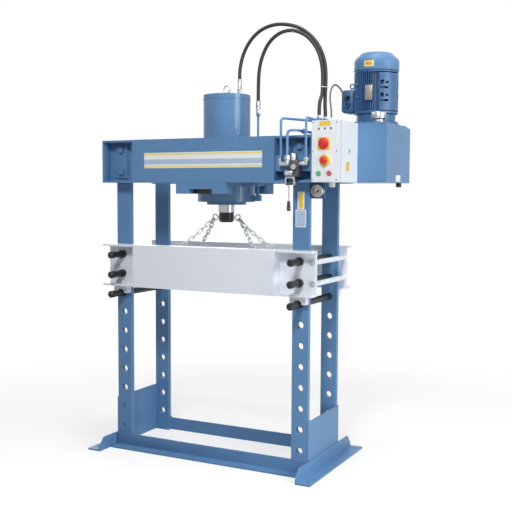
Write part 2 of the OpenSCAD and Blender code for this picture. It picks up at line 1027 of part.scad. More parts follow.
// Rounded shoulder of the cowl at a given wall
function shoulder(wall) =
  [for (k = [0:cowl_steps])
    let (a = 90 * k / cowl_steps, r = cowl_round - wall)
    [cowl_d / 2 - cowl_round + r * cos(a), cowl_h - cowl_round + r * sin(a)]];

module motor_cowl() {
  inner = shoulder(cowl_wall);
  r_in = fan_r - 4;
  color("SteelBlue")
    translate([motor_x, motor_y, z_cowl])
      rotate_extrude()
        polygon(concat(
          [[r_in, 0], [cowl_d / 2, 0]],
          shoulder(0),
          [[shaft_r, cowl_h], [shaft_r, cowl_h - cowl_wall]],
          [for (k = [cowl_steps:-1:0]) inner[k]],
          [[cowl_d / 2 - cowl_wall, cowl_wall], [r_in, cowl_wall]]
        ));
}

module motor_rotor() {
  z_low = z_unit + coupling_h + 12;
  z_fan = z_cowl + cowl_wall + 20;
  color("Silver")
    translate([motor_x, motor_y, 0])
      union() {
        z_cyl(shaft_r, z_low, z_fan + fan_h);
        z_cyl(rotor_r, z_motor + shield_h + 12, z_cowl - shield_h - 12);
        z_cyl(fan_r - 20, z_fan, z_fan + 4);
        for (i = [0:7])
          rotate([0, 0, i * 45])
            translate([shaft_r - 2, -2, z_fan])
              cube([fan_r - shaft_r, 4, fan_h]);
      }
}

module terminal_box() {
  z0 = z_motor + box_rise;
  y0 = motor_y - box_half;
  color("SteelBlue") {
    box([box_x, y0, z0], [box_x + box_w, motor_y + box_half, z0 + box_h]);
    y_cyl(cable_gland_r, cable_end[1], y0, cable_end[0], cable_end[2]);
    y_cyl(cable_gland_r, cable_end[1] + 8, y0, cable_end[0], cable_end[2] - 42);
  }
}

module bell_housing() {
  color("SteelBlue")
    difference() {
      union() {
        z_cyl(flange_r, z_unit, z_unit + bell_flange, motor_x, motor_y);
        z_cyl(bell_r, z_unit, z_motor, motor_x, motor_y);
      }
      z_cyl(bell_in, z_unit - 1, z_motor - fin_h, motor_x, motor_y);
      z_cyl(shaft_r + 2, z_unit - 1, z_motor + 1, motor_x, motor_y);
    }
}

module pump_coupling() {
  z0 = z_unit + 12;
  color("Silver")
    translate([motor_x, motor_y, 0]) {
      z_cyl(coupling_r, z0, z0 + coupling_h);
      z_cyl(pump_shaft_r, z_lid - pump_drop - pump_h / 2, z0 + 1);
    }
}

module pump() {
  z1 = z_lid - pump_drop + tank_wall;
  z0 = z1 - pump_h;
  color("Silver")
    difference() {
      union() {
        box([motor_x - pump_w / 2, motor_y - pump_w / 2, z0],
            [motor_x + pump_w / 2, motor_y + pump_w / 2, z1]);
        z_cyl(strainer_r / 2, z0 - 20, z0 + 1, motor_x, motor_y);
        z_cyl(strainer_r, z0 - 20 - strainer_h, z0 - 20, motor_x, motor_y);
      }
      z_cyl(pump_shaft_r + run_gap, z_lid - pump_drop - pump_h / 2 - 1, z1 + 1,
            motor_x, motor_y);
    }
}

module filler_cap() {
  z0 = z_unit + filler_lift;
  rib_n = 24;
  color("Silver") {
    difference() {
      z_cyl(filler_d / 2, z0, z0 + filler_h, filler_x, filler_y);
      for (i = [0:rib_n - 1])
        translate([filler_x, filler_y, z0 + 8])
          rotate([0, 0, i * 360 / rib_n])
            translate([filler_d / 2 - 1.5, -2, 0])
              cube([4, 4, filler_h - 16]);
    }
    z_cyl(neck_r, z0 - neck_l, z0 + 1, filler_x, filler_y);
  }
}

module drain_plug() {
  color("DimGray") {
    translate([drain_x, drain_y, tank_z - drain_h])
      cylinder(h = drain_h, r = drain_r, $fn = 6);
    z_cyl(drain_r / 2, tank_z - 1, tank_z + tank_wall, drain_x, drain_y);
  }
}

module control_cabinet() {
  x1 = cab_x + cabinet_w;
  z1 = cab_z + cabinet_h;
  color("WhiteSmoke") {
    difference() {
      box([cab_x, y_cab, cab_z], [x1, cab_back, z1]);
      box([cab_x + sheet, y_cab - 1, cab_z + sheet], [x1 - sheet, cab_back - sheet, z1 - sheet]);
    }
    z_cyl(cable_gland_r, z1, z1 + cable_gland_h, cab_x + gland_x, gland_y);
    z_cyl(inlet_r, cab_z - inlet_h, cab_z, cab_x + gland_x + 8, gland_y);
  }
}

// Hole through the panel for a fitting
module panel_hole(x, z, r) {
  y_cyl(r, y_panel - 1, y_cab + 1, cab_x + x, cab_z + z);
}

module cabinet_panel() {
  color("WhiteSmoke")
    difference() {
      box([cab_x, y_panel, cab_z], [cab_x + cabinet_w, y_cab, cab_z + cabinet_h]);
      panel_hole(switch_x, switch_z, stem_r + pin_gap);
      panel_hole(estop_x, estop_z, stem_r + pin_gap);
      panel_hole(start_x, button_z, button_r + pin_gap);
      panel_hole(stop_x, button_z, button_r + pin_gap);
    }
}

// Ring on the panel face
module panel_ring(x, z, r, r_in, h) {
  difference() {
    y_cyl(r, y_panel - h, y_panel, cab_x + x, cab_z + z);
    y_cyl(r_in, y_panel - h - 1, y_panel + 1, cab_x + x, cab_z + z);
  }
}

module panel_fittings() {
  half = switch_plate / 2;
  color("Gold") {
    difference() {
      box([cab_x + switch_x - half, y_panel - sheet, cab_z + switch_z - half],
          [cab_x + switch_x + half, y_panel, cab_z + switch_z + half]);
      y_cyl(stem_r + pin_gap, y_panel - sheet - 1, y_panel + 1, cab_x + switch_x,
            cab_z + switch_z);
    }
    panel_ring(estop_x, estop_z, estop_ring_r, stem_r + pin_gap, estop_ring_h);
    panel_ring(start_x, button_z, bezel_r, button_r + pin_gap, bezel_h);
    panel_ring(stop_x, button_z, bezel_r, button_r + pin_gap, bezel_h);
    for (x = lamp_x)
      y_cyl(lamp_r, y_panel - bezel_h, y_panel, cab_x + x, cab_z + lamp_z);
    for (x = screw_x)
      for (z = screw_z)
        y_cyl(screw_r, y_panel - sheet, y_panel, cab_x + x, cab_z + z);
  }
}

module main_switch() {
  x = cab_x + switch_x;
  z = cab_z + switch_z;
  y0 = y_panel - sheet - pin_gap;
  color("Firebrick") {
    y_cyl(switch_r, y0 - switch_h / 2, y0, x, z);
    box([x - switch_r / 3, y0 - switch_h, z - switch_r + 3],
        [x + switch_r / 3, y0 - switch_h / 2, z + switch_r - 3]);
    y_cyl(stem_r, y0 - 1, y_cab + 8, x, z);
  }
}

module estop_button() {
  x = cab_x + estop_x;
  z = cab_z + estop_z;
  y0 = y_panel - estop_ring_h - estop_travel - 1;
  color("Firebrick") {
    y_cyl(estop_r, y0 - 8, y0, x, z);
    translate([x, y0 - 14, z])
      rotate([-90, 0, 0])
        cylinder(h = 6, r1 = estop_r - 5, r2 = estop_r);
    y_cyl(stem_r, y0 - 1, y_cab + 8, x, z);
  }
}

// Push button cap in its bezel
module push_cap(x) {
  y_cyl(button_r, y_panel - bezel_h - 4, y_cab + 8, cab_x + x, cab_z + button_z);
}

module start_button() {
  color("Green")
    push_cap(start_x);
}

module stop_button() {
  color("Firebrick")
    push_cap(stop_x);
}

module valve_body() {
  z0 = crown_z + valve_rise[0];
  z1 = crown_z + valve_rise[1];
  y0 = valve_y - valve_d / 2;
  half = lever_box / 2;
  color("Silver")
    difference() {
      union() {
        box([valve_x - valve_w / 2, y0, z0], [valve_x + valve_w / 2, -strap_y, z1]);
        box([lever_x - half, valve_y - lever_box_d / 2, z0 - lever_box_h],
            [lever_x + half, valve_y + lever_box_d / 2, z0 + 1]);
        z_cyl(spool_r + 9, z1 - 1, z1 + 20, valve_x, valve_y);
        x_cyl(16, valve_x - valve_w / 2 - 30, valve_x - valve_w / 2 + 1, valve_y, z0 + 28);
      }
      z_cyl(spool_r + run_gap, z0 - 1, z1 + 14, valve_x, valve_y);
      box([lever_x - half + lever_wall, valve_y - lever_box_d, z0 - lever_box_h - 1],
          [lever_x + half - lever_wall, valve_y + lever_box_d, z0]);
      x_cyl(lever_pin_r + run_gap, lever_x - half - 1, lever_x + half + 1, valve_y, lever_z);
    }
}

module valve_spool() {
  z0 = crown_z + valve_rise[0] - spool_out + 8;
  groove = 3;
  color("Silver")
    difference() {
      z_cyl(spool_r, z0, z0 + spool_l, valve_x, valve_y);
      for (h = [34, 62])
        difference() {
          z_cyl(spool_r + 1, z0 + h, z0 + h + 14, valve_x, valve_y);
          z_cyl(spool_r - groove, z0 + h - 1, z0 + h + 15, valve_x, valve_y);
        }
    }
}

module valve_lever() {
  hub_half = lever_box / 2 - lever_wall - 1;
  z_grip = lever_z - lever_l;
  color("DimGray") {
    x_cyl(lever_hub_r, lever_x - hub_half, lever_x + hub_half, valve_y, lever_z);
    x_cyl(lever_pin_r, lever_x - lever_box / 2, lever_x + lever_box / 2, valve_y, lever_z);
    z_cyl(lever_r, z_grip - 1, lever_z, lever_x - lever_off, valve_y);
    translate([lever_x - lever_off, valve_y, z_grip - grip_l])
      cylinder(h = grip_l, r1 = grip_r[1], r2 = grip_r[0]);
  }
}

module gauge_case() {
  r = gauge_d / 2;
  y0 = gauge_y - gauge_depth;
  color("DimGray") {
    difference() {
      y_cyl(r, y0, gauge_y, gauge_x, gauge_z);
      y_cyl(r - gauge_wall, y0 - 1, gauge_y - gauge_wall * 3, gauge_x, gauge_z);
      y_cyl(gauge_pin_r + run_gap, y0, gauge_y - gauge_wall, gauge_x, gauge_z);
    }
    box([x_out, gauge_y, gauge_z - r - 8], [gauge_x + r + 3, gauge_y + gauge_plate, crown_z]);
  }
}

module gauge_needle() {
  y0 = gauge_y - gauge_depth + lens_t + 8;
  color("Black") {
    y_cyl(gauge_pin_r * 2, y0, y0 + 3, gauge_x, gauge_z);
    y_cyl(gauge_pin_r, y0, gauge_y - gauge_wall - 1, gauge_x, gauge_z);
    rotate_about(gauge_x, gauge_z, 135)
      box([gauge_x - 1.2, y0 + 0.5, gauge_z - 8], [gauge_x + 1.2, y0 + 2.5, gauge_z + needle_l]);
  }
}

// Turns a piece about an axis along Y
module rotate_about(x, z, a) {
  translate([x, 0, z])
    rotate([0, -a, 0])
      translate([-x, 0, -z])
        children();
}

module gauge_lens() {
  y0 = gauge_y - gauge_depth + 2;
  color("LightCyan")
    y_cyl(gauge_d / 2 - gauge_wall - run_gap, y0, y0 + lens_t, gauge_x, gauge_z);
}

// Quarter bend that starts at the origin going up and leaves along X
module bend_over() {
  translate([bend_r, 0, 0])
    rotate([90, 0, 0])
      rotate([0, 0, 90])
        rotate_extrude(angle = 90)
          translate([bend_r, 0])
            circle(d = pipe_d + bend_swell);
}

// Flat quarter bend from along X to along Y
module bend_left() {
  translate([0, bend_r, 0])
    rotate([0, 0, -90])
      rotate_extrude(angle = 90)
        translate([bend_r, 0])
          circle(d = pipe_d + bend_swell);
}

// Flat quarter bend from along Y to along X
module bend_right() {
  translate([bend_r, 0, 0])
    rotate([0, 0, 90])
      rotate_extrude(angle = 90)
        translate([bend_r, 0])
          circle(d = pipe_d + bend_swell);
}

// Pipe that rises from a point and runs level in a direction for a length
module riser(x, y, z0, z1, turn, run) {
  z_cyl(pipe_d / 2, z0, z1 - bend_r + lap, x, y);
  translate([x, y, z1 - bend_r])
    rotate([0, 0, turn])
      bend_over();
  translate([x, y, z1])
    rotate([0, 0, turn])
      x_cyl(pipe_d / 2, bend_r - lap, run, 0, 0);
}

module pipes() {
  r = pipe_d / 2;
  color("SteelBlue") {
    difference() {
      for (k = [0, 1])
        let (dx = man_x - elbow_x[k], dy = man_y[1 - k] - valve_y)
          riser(elbow_x[k], valve_y, elbow_z + elbow / 2, line_z, atan2(dy, dx), norm([dx, dy]));
      end_blocks();
    }
    riser(p3_x, p3_y, crown_z + valve_rise[1], return_z, 0, return_x - bend_r - p3_x + lap);
    translate([return_x - bend_r, p3_y, return_z])
      bend_left();
    y_cyl(r, p3_y + bend_r - lap, return_y - bend_r + lap, return_x, return_z);
    translate([return_x, return_y - bend_r, return_z])
      bend_right();
    x_cyl(r, return_x + bend_r - lap, tank_x, return_y, return_z);
    z_cyl(r, side_z[0] + side_half, side_z[1], side_x, 0);
  }
}

// Blocks that carry the lower hose ends
module end_blocks() {
  half = man_block / 2;
  for (y = man_y)
    box([man_x - half, y - half, man_z], [man_x + half, y + half, man_z + man_block]);
}

// Hose end with its nut and pressed ferrule
module hose_end(x, y, z0, z1) {
  nut = (z1 - z0) * 0.35;
  translate([x, y, z0])
    cylinder(h = nut, r = nut_r, $fn = 6);
  z_cyl(ferrule_r, z0 + nut, z1, x, y);
}

module hydraulic_fittings() {
  z_plate = crown_z + beam_h + plate_t;
  color("Silver") {
    hose_end(top_x, 0, z_cap, z_top_end);
    hose_end(side_x, 0, side_z[1], z_side_end);
    box([boss_x, -boss_half, side_z[0] - boss_half],
        [side_x + side_half, boss_half, side_z[0] + side_half]);
    end_blocks();
    for (y = man_y) {
      z_cyl(post_r, z_plate, man_z, man_x, y);
      hose_end(man_x, y, man_z + man_block, z_foot);
    }
    box([elbow_x[0] - elbow / 2, valve_y - elbow / 2, elbow_z - elbow / 2],
        [valve_x - valve_w / 2, valve_y + elbow / 2, elbow_z + elbow / 2]);
    box([valve_x + valve_w / 2, valve_y - elbow / 2, elbow_z - elbow / 2],
        [elbow_x[1] + elbow / 2, valve_y + elbow / 2, elbow_z + elbow / 2]);
  }
}

module hose_a() {
  color("DimGray")
    tube(laid(route_a, [top_x, 0, z_top_end], [man_x, man_y[1], z_foot]), hose_d / 2, 12,
         [0, 1, 0]);
}

module hose_b() {
  color("DimGray")
    tube(laid(route_b, [side_x, 0, z_side_end], [man_x, man_y[0], z_foot]), hose_d / 2, 12,
         [0, 1, 0]);
}

module motor_cable() {
  color("Gray")
    tube(laid(route_c, cable_start, cable_end), cable_d / 2, 10, [1, 0, 0]);
}

columns_left();
columns_right();
side_gussets();
base_frame();
crown_beam_front();
crown_beam_rear();
crown_plates();
head_block();
frame_bolts();
cylinder_barrel();
cylinder_cap();
gland_ring();
rod_seal();
piston();
piston_seal();
piston_rod();
ram_nose();
ram_shackles();
lifting_eye();
table_beam_front();
table_beam_rear();
table_plates();
table_spacers();
saddle_blocks();
pin_left_upper();
pin_left_middle();
pin_left_lower();
pin_right_upper();
pin_right_middle();
pin_right_lower();
lifting_chains();
tank();
tank_lid();
motor_housing();
motor_cowl();
motor_rotor();
terminal_box();
bell_housing();
pump_coupling();
pump();
filler_cap();
drain_plug();
control_cabinet();
cabinet_panel();
panel_fittings();
main_switch();
estop_button();
start_button();
stop_button();
valve_body();
valve_spool();
valve_lever();
gauge_case();
gauge_needle();
gauge_lens();
pipes();
hydraulic_fittings();
hose_a();
hose_b();
motor_cable();
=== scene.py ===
"""Dresses the hydraulic workshop press with finishes, hoses, chains and trim."""
import math

import bmesh
import bpy
from mathutils import Matrix, Vector


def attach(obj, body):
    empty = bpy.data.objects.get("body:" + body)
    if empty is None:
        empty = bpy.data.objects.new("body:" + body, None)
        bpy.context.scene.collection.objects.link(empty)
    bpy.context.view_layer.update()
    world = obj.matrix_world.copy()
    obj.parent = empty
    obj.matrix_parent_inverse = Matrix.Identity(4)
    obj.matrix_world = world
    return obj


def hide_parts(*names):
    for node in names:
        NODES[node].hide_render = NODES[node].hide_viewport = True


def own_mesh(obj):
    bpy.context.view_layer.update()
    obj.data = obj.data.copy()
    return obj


bl_info = {
    "name": "Workshop press",
    "version": (1, 0, 0),
    "blender": (4, 5, 0),
    "location": "View3D > Sidebar > Press",
    "description": "Finishes, hoses, chains and trim of a hydraulic workshop press",
    "category": "Object",
}

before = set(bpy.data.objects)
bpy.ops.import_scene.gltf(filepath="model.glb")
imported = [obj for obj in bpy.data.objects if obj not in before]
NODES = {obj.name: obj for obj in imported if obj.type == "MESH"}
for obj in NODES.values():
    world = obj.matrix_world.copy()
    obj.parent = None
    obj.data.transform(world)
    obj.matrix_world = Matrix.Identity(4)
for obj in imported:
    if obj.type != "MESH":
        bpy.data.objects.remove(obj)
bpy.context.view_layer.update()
MM = 0.001

# Camera of the photograph: degrees, lens and sensor in millimetres, place in metres
CAMERA_TURN, CAMERA_TILT, CAMERA_ROLL = 27.04, 4.11, 0.275
CAMERA_LENS, CAMERA_SENSOR = 61.08, 36
CAMERA_SPOT = (2.578, -4.652, 1.588)

# Lamps: name, place and aim in metres, width in metres and power in watts
LAMPS = (
    ("Key", (1.4, -3.9, 4.3), (0.1, 0, 1.3), 0.9, 127),
    ("Side", (5.4, -0.8, 2.6), (0.2, 0, 1.1), 2.5, 140),
    ("Low", (1.65, -0.8, 0.4), (0.72, -0.15, 0.05), 0.5, 4.5),
    ("Top", (0.8, -0.4, 9.0), (0.2, 0, 1.0), 3.9, 285),
    ("Back", (-3.6, 4.4, 3.4), (0, 0, 1.2), 3.0, 70),
)
FILL = 0.13
FLOOR_REACH = 14
FLOOR_DROP = 0.0005
SHADOW_NEAR, SHADOW_FAR = 1.2, 3.5
SHADOW_GREY, SHADOW_LIFT = 0.5, 0.54

# Angles in degrees for smooth shading and broken edges, and the distance that joins corners
SMOOTH_ANGLE, EASED_ANGLE = 35, 30
BEVEL_ANGLE, FLAT_ANGLE = 50, 0.5
SAME_POINT = 1e-6

# Places in millimetres that pieces share, as in the part's source
COLUMN_X = 600
COLUMN_FACE_Y = 227
WEB_FACE_Y = 237
BOLT_FACE_Y = 247
STUD_X, STUD_Z = 390, 1146
HOSE_X, HOSE_ROWS = 645, (0, -90)
HOSE_BLOCK_Z, HOSE_BLOCK_TOP = 2000, 2015
FLANGE_PIPE_X = 214
FILLER = (963, 12)
MOTOR = (889, 171)
EYE_Z = 2213
TERMINAL_X, GLAND_Z, PORT_Z = 739, 2145, 2103
PANEL_Y = -317
CABINET_SIDE_X = 861
GLAND_Y = -180
LAMP_ROW = (741, 776, 811)
LAMP_Z = 1938
MUSHROOM = (777, 1768)
BUTTON_Z = 1698
VALVE_Y = -331
LEVER_X, LEVER_Z = 584, 1646
ROD_X = 572
GAUGE_X, GAUGE_Z = 698, 1604
PAD_FIRST, PAD_STEP = -63, 2.5
PAD_LOW, PAD_RISE = 2062, 6

# Hose and cable routes in millimetres, as in the part's source
HOSE_A = [
    (88, 0, 2270), (88, 0, 2300), (92, 0, 2340), (102, 0, 2385), (120, 0, 2432), (148, 0, 2479),
    (186, 0, 2520), (232, 0, 2551), (284, 0, 2569), (339, 0, 2575), (394, 0, 2570), (448, 0, 2556),
    (498, 0, 2533), (543, 0, 2500), (581, 0, 2460), (611, 0, 2413), (632, 0, 2362), (643, 0, 2307),
    (646, 0, 2252), (645, 0, 2197), (643, 0, 2142), (643, 0, 2090), (645, 0, 2055), (645, 0, 2030),
]
HOSE_B = [
    (214, 0, 2137), (214, 0, 2162), (215, -2, 2195), (218, -6, 2249), (224, -11, 2304),
    (236, -15, 2358), (256, -18, 2410), (284, -20, 2457), (322, -20, 2496), (371, -20, 2522),
    (426, -20, 2530), (479, -20, 2519), (528, -20, 2493), (568, -20, 2455), (600, -20, 2409),
    (620, -20, 2359), (631, -20, 2306), (635, -20, 2257), (635, -20, 2210), (636, -24, 2180),
    (638, -36, 2152), (640, -55, 2130), (642, -74, 2108), (644, -86, 2080), (645, -90, 2050),
    (645, -90, 2030),
]
CABLE = [
    (756, -180, 2004), (756, -180, 2022), (753, -175, 2043), (747, -166, 2066), (739, -154, 2089),
    (731, -140, 2111), (725, -125, 2132), (720, -109, 2151), (717, -92, 2168), (715, -75, 2182),
    (714, -58, 2193), (715, -41, 2200), (717, -24, 2203), (719, -8, 2201), (722, 6, 2196),
    (726, 18, 2188), (729, 28, 2179), (732, 37, 2170), (735, 46, 2161), (737, 56, 2152),
    (739, 70, 2145), (739, 82, 2145),
]

METAL = {"Metallic": 1.0}
MOULDED = {"Coat Weight": 0.2, "Coat Roughness": 0.12}
FILM = ({}, (4, 0.02, 0.02, 60), (0.3, 0.38))

# Finishes by a short key: the record's slot, the material's name, its colour or the property that
# holds it, shader values, grain (size and depth in mm, drift of tone, drift's size in mm), range of
# roughness, stretch of the grain, and a worn colour with the size of its patches in mm
FINISHES = {
    # Semi-gloss, with a faint orange peel drawn at 6 mm so that it shows
    "blue": ("frame_blue", "Blue machine enamel, sprayed", "blue",
             {"Coat Weight": 0.03, "Coat Roughness": 0.2, "Specular IOR Level": 0.24},
             (6, 0.10, 0.035, 260), (0.34, 0.44)),
    # The same enamel flowed out glossy on turned work, which mirrors the lamps in upright bands
    "gloss": ("frame_blue", "Blue machine enamel, flowed out", "blue",
              {"Coat Weight": 0.25, "Coat Roughness": 0.1, "Specular IOR Level": 0.25},
              (40, 0.02, 0.035, 120), (0.22, 0.3)),
    # The same family a shade deeper, thinner over the casting's skin; on the gauge bracket the same
    # enamel is painted shade
    "motor": ("frame_blue", "Blue motor enamel, dipped", "motor",
              {"Coat Weight": 0.06, "Coat Roughness": 0.2, "Specular IOR Level": 0.36},
              (4, 0.2, 0.05, 70), (0.36, 0.48)),
    # Thinner and paler, uneven where the brush went
    "pipe": ("frame_blue", "Blue pipe enamel, brushed on", "#6C96C2", {"Specular IOR Level": 0.4},
             (5, 0.15, 0.06, 50), (0.3, 0.4)),
    # The enamel in white on the table, a little chalkier
    "white": ("table_white", "White machine enamel, sprayed", "white",
              {"Coat Weight": 0.12, "Coat Roughness": 0.25}, (6, 0.10, 0.012, 320), (0.3, 0.4)),
    # Fine even texture drawn at 2.5 mm, with a soft sheen
    "cabinet": ("cabinet_white", "White powder coat, baked", "cabinet", {},
                (2.5, 0.10, 0.012, 200), (0.42, 0.52)),
    # Dark and satin, paler in patches where it is handled
    "black": ("black_steel", "Black oxide steel, turned", "#17181A", {"Metallic": 0.3},
              (2, 0.05, 0.15, 60), (0.26, 0.42), (6, 1, 6), ("#2C2D30", 45)),
    # Bright, with the grinding marks drawn at 2 mm so that they show
    "chrome": ("ground_steel", "Hard chrome, ground", "#A9ADB2", METAL,
               (2, 0.01, 0.04, 80), (0.16, 0.26), (0.05, 0.05, 1)),
    # Pale metal with a patchy sheen and dull spots
    "zinc": ("zinc_steel", "Zinc plated steel, bright", "#B3B6BA", METAL,
             (4, 0.05, 0.10, 30), (0.24, 0.4), None, ("#8B8F94", 14)),
    # A shade paler than the other plating, for links and rings
    "links": ("zinc_steel", "Zinc plated chain, barrel bright", "#C6C8CA", METAL,
              (3, 0.05, 0.08, 20), (0.26, 0.4)),
    # Dark grey, with the sand's grain and rubbed patches
    "iron": ("black_steel", "Cast iron, phosphated", "#494C51", {"Metallic": 0.7},
             (2.5, 0.25, 0.12, 30), (0.4, 0.55), None, ("#76797E", 14)),
    # Long fine lines drawn at 1.5 mm
    "aluminium": ("ground_steel", "Aluminium sheet, brushed", "#A2A6AB", METAL,
                  (1.5, 0.02, 0.04, 60), (0.3, 0.42), (0.08, 1, 1)),
    # Grey and mottled where the etch bit deeper
    "plate": ("ground_steel", "Aluminium plate, etched", "#8F8C84", {"Metallic": 0.6},
              (2, 0.05, 0.1, 12), (0.4, 0.55), None, ("#5E5B55", 9)),
    # Dull black, with the mark of the wrapping cloth
    "rubber": ("rubber", "Hose rubber, wrapped cure", "#232529", {},
               (2.5, 0.25, 0.15, 50), (0.45, 0.6), None, ("#33363B", 30)),
    # Smooth grey
    "pvc": ("cable_grey", "Cable PVC, extruded", "#5F6469", {}, (3, 0.04, 0.05, 60), (0.4, 0.5)),
    # Moulded plastics: smooth, with faint sink marks, the coated ones glossy
    "red": ("red_plastic", "Red ABS, moulded", "red", MOULDED, (3, 0.03, 0.05, 20), (0.28, 0.38)),
    "yellow": ("yellow_plastic", "Yellow ABS, moulded", "yellow", MOULDED,
               (3, 0.03, 0.04, 20), (0.3, 0.4)),
    "green": ("green_plastic", "Green ABS, moulded", "green", MOULDED,
              (3, 0.03, 0.05, 20), (0.28, 0.38)),
    "rose": ("red_plastic", "Red polypropylene, moulded", "#CC5F66", MOULDED,
             (3, 0.03, 0.05, 20), (0.3, 0.4)),
    "lamp": ("red_plastic", "Red polycarbonate, moulded", "#4F1614", MOULDED,
             (2, 0.04, 0.1, 6), (0.12, 0.2)),
    # Black plastic, and also painted shade at the back of the head's slot, in the fan grille's openings
    # and in the terminal port
    "dark": ("black_plastic", "Black ABS, moulded", "#17181A", {},
             (2, 0.04, 0.1, 20), (0.35, 0.45)),
    "grip": ("black_plastic", "Phenolic, moulded", "#2B2220", MOULDED,
             (3, 0.05, 0.12, 15), (0.26, 0.36)),
    "nylon": ("cabinet_white", "White nylon, moulded", "#E4E6E3", {},
              (2, 0.03, 0.03, 20), (0.4, 0.5)),
    # Vinyl films: flat, smooth and slightly glossy
    "film": ("cabinet_white", "White vinyl film", "#EDEFF0", *FILM),
    "film_blue": ("frame_blue", "Pale blue vinyl film", "#AFC4DF", *FILM),
    "film_yellow": ("yellow_plastic", "Yellow vinyl film", "#EBC64B", *FILM),
    "film_straw": ("yellow_plastic", "Straw vinyl film", "#EADD86", *FILM),
    "film_orange": ("yellow_plastic", "Orange vinyl film", "#E39A2E", *FILM),
    # Warm cream paper under lacquer
    "dial": ("cabinet_white", "Dial card, lacquered", "#E6D2C2", {},
             (1.5, 0.02, 0.05, 12), (0.4, 0.5)),
}
SKIN = {}

# Directions, and turns that point the Z axis of a piece along one of them
UP = (0, 0, 1)
WAYS = {
    "up": Matrix.Identity(4),
    "down": Matrix.Rotation(math.pi, 4, "X"),
    "front": Matrix.Rotation(math.pi / 2, 4, "X"),
    "back": Matrix.Rotation(-math.pi / 2, 4, "X"),
    "right": Matrix.Rotation(math.pi / 2, 4, "Y"),
    "left": Matrix.Rotation(-math.pi / 2, 4, "Y"),
}


class PressColours(bpy.types.PropertyGroup):
    """Paint and plastic colours as sRGB hex values."""
    blue: bpy.props.StringProperty(
        name="Blue enamel", description="Frame, crown, cylinder and tank", default="#6089B4")
    motor: bpy.props.StringProperty(
        name="Motor enamel", description="Motor housing, bell and terminal box", default="#406896")
    white: bpy.props.StringProperty(
        name="White enamel", description="Table beams and saddles", default="#E8EEF6")
    cabinet: bpy.props.StringProperty(
        name="White powder coat", description="Control cabinet", default="#EAF0F4")
    red: bpy.props.StringProperty(
        name="Red plastic", description="Isolator and emergency stop", default="#CE2127")
    yellow: bpy.props.StringProperty(
        name="Yellow plastic", description="Isolator plate and emergency stop collar", default="#F2BE1A")
    green: bpy.props.StringProperty(
        name="Green plastic", description="Start button", default="#55AC8E")


class PressSizes(bpy.types.PropertyGroup):
    """Sizes of the soft lines and of the trim."""
    hose: bpy.props.FloatProperty(
        name="Hose diameter", description="Outside of the rubber cover", default=0.021, unit="LENGTH")
    cable: bpy.props.FloatProperty(
        name="Cable diameter", description="Outside of the motor cable", default=0.010, unit="LENGTH")
    edge: bpy.props.FloatProperty(
        name="Edge rounding", description="Broken edge of cut plates", default=0.0016, unit="LENGTH")
    wire: bpy.props.FloatProperty(
        name="Chain wire", description="Thickness of a link", default=0.007, unit="LENGTH")
    link: bpy.props.FloatProperty(
        name="Link width", description="Inside width of a link", default=0.014, unit="LENGTH")
    links: bpy.props.IntProperty(
        name="Links", description="Links in each chain", default=14, min=2)
    bead: bpy.props.FloatProperty(
        name="Weld bead", description="Width of a fillet weld", default=0.006, unit="LENGTH")


def linear(code):
    """Linear colour of an sRGB hex value."""
    parts = [int(code[i:i + 2], 16) / 255 for i in (1, 3, 5)]
    return tuple(c / 12.92 if c <= 0.04045 else ((c + 0.055) / 1.055) ** 2.4 for c in parts) + (1.0,)


def add(tree, kind, given=None):
    """Adds a node with its settings, then its input values and links.

    A link comes from a socket, or from a node by its first output."""
    made = tree.nodes.new(kind)
    for key, value in (given or {}).items():
        if isinstance(value, bpy.types.Node):
            value = value.outputs[0]
        if isinstance(value, bpy.types.NodeSocket):
            tree.links.new(value, made.inputs[key])
        elif isinstance(key, str) and hasattr(made, key):
            setattr(made, key, value)
        else:
            made.inputs[key].default_value = value
    return made


def start(name):
    """An empty node material, its tree, its output and its object coordinates."""
    known = bpy.data.materials.get(name)
    if known:
        bpy.data.materials.remove(known)
    material = bpy.data.materials.new(name)
    material.use_nodes = True
    tree = material.node_tree
    tree.nodes.clear()
    out = add(tree, "ShaderNodeOutputMaterial")
    place = add(tree, "ShaderNodeTexCoord").outputs["Object"]
    return material, tree, out, place


def grained(name, colour, shader, grain, rough, stretch=None, worn=None):
    """A surface of one colour that drifts in tone, with a grain of a real size in bump and gloss."""
    grain_mm, depth_mm, drift, drift_mm = grain
    middle = {"From Min": 0.3, "From Max": 0.7}
    worn_part = {"From Min": 0.56, "From Max": 0.72}
    material, tree, out, place = start(name)
    broad = add(tree, "ShaderNodeTexNoise",
                {"Scale": 1 / (drift_mm * MM), "Detail": 3.0, "Vector": place})
    tone = add(tree, "ShaderNodeMapRange",
               {**middle, "To Min": 1 - drift, "To Max": 1 + drift, "Value": broad})
    base = add(tree, "ShaderNodeHueSaturation", {"Color": linear(colour), "Value": tone})
    if worn:
        worn_colour, patch_mm = worn
        patch = add(tree, "ShaderNodeTexNoise",
                    {"Scale": 1 / (patch_mm * MM), "Detail": 6.0, "Vector": place})
        mask = add(tree, "ShaderNodeMapRange", {**worn_part, "Value": patch})
        base = add(tree, "ShaderNodeMix", {"data_type": "RGBA", 0: mask, 6: base,
                                           7: linear(worn_colour)}).outputs[2]
    if stretch:
        place = add(tree, "ShaderNodeMapping", {"Scale": stretch, "Vector": place}).outputs[0]
    fine = add(tree, "ShaderNodeTexNoise",
               {"Scale": 1 / (grain_mm * MM), "Detail": 2.0, "Vector": place})
    gloss = add(tree, "ShaderNodeMapRange",
                {**middle, "To Min": rough[0], "To Max": rough[1], "Value": fine})
    bump = add(tree, "ShaderNodeBump", {"Strength": 0.6, "Distance": depth_mm * MM, "Height": fine})
    body = add(tree, "ShaderNodeBsdfPrincipled",
               {**shader, "Base Color": base, "Roughness": gloss, "Normal": bump})
    tree.links.new(body.outputs[0], out.inputs["Surface"])
    return material


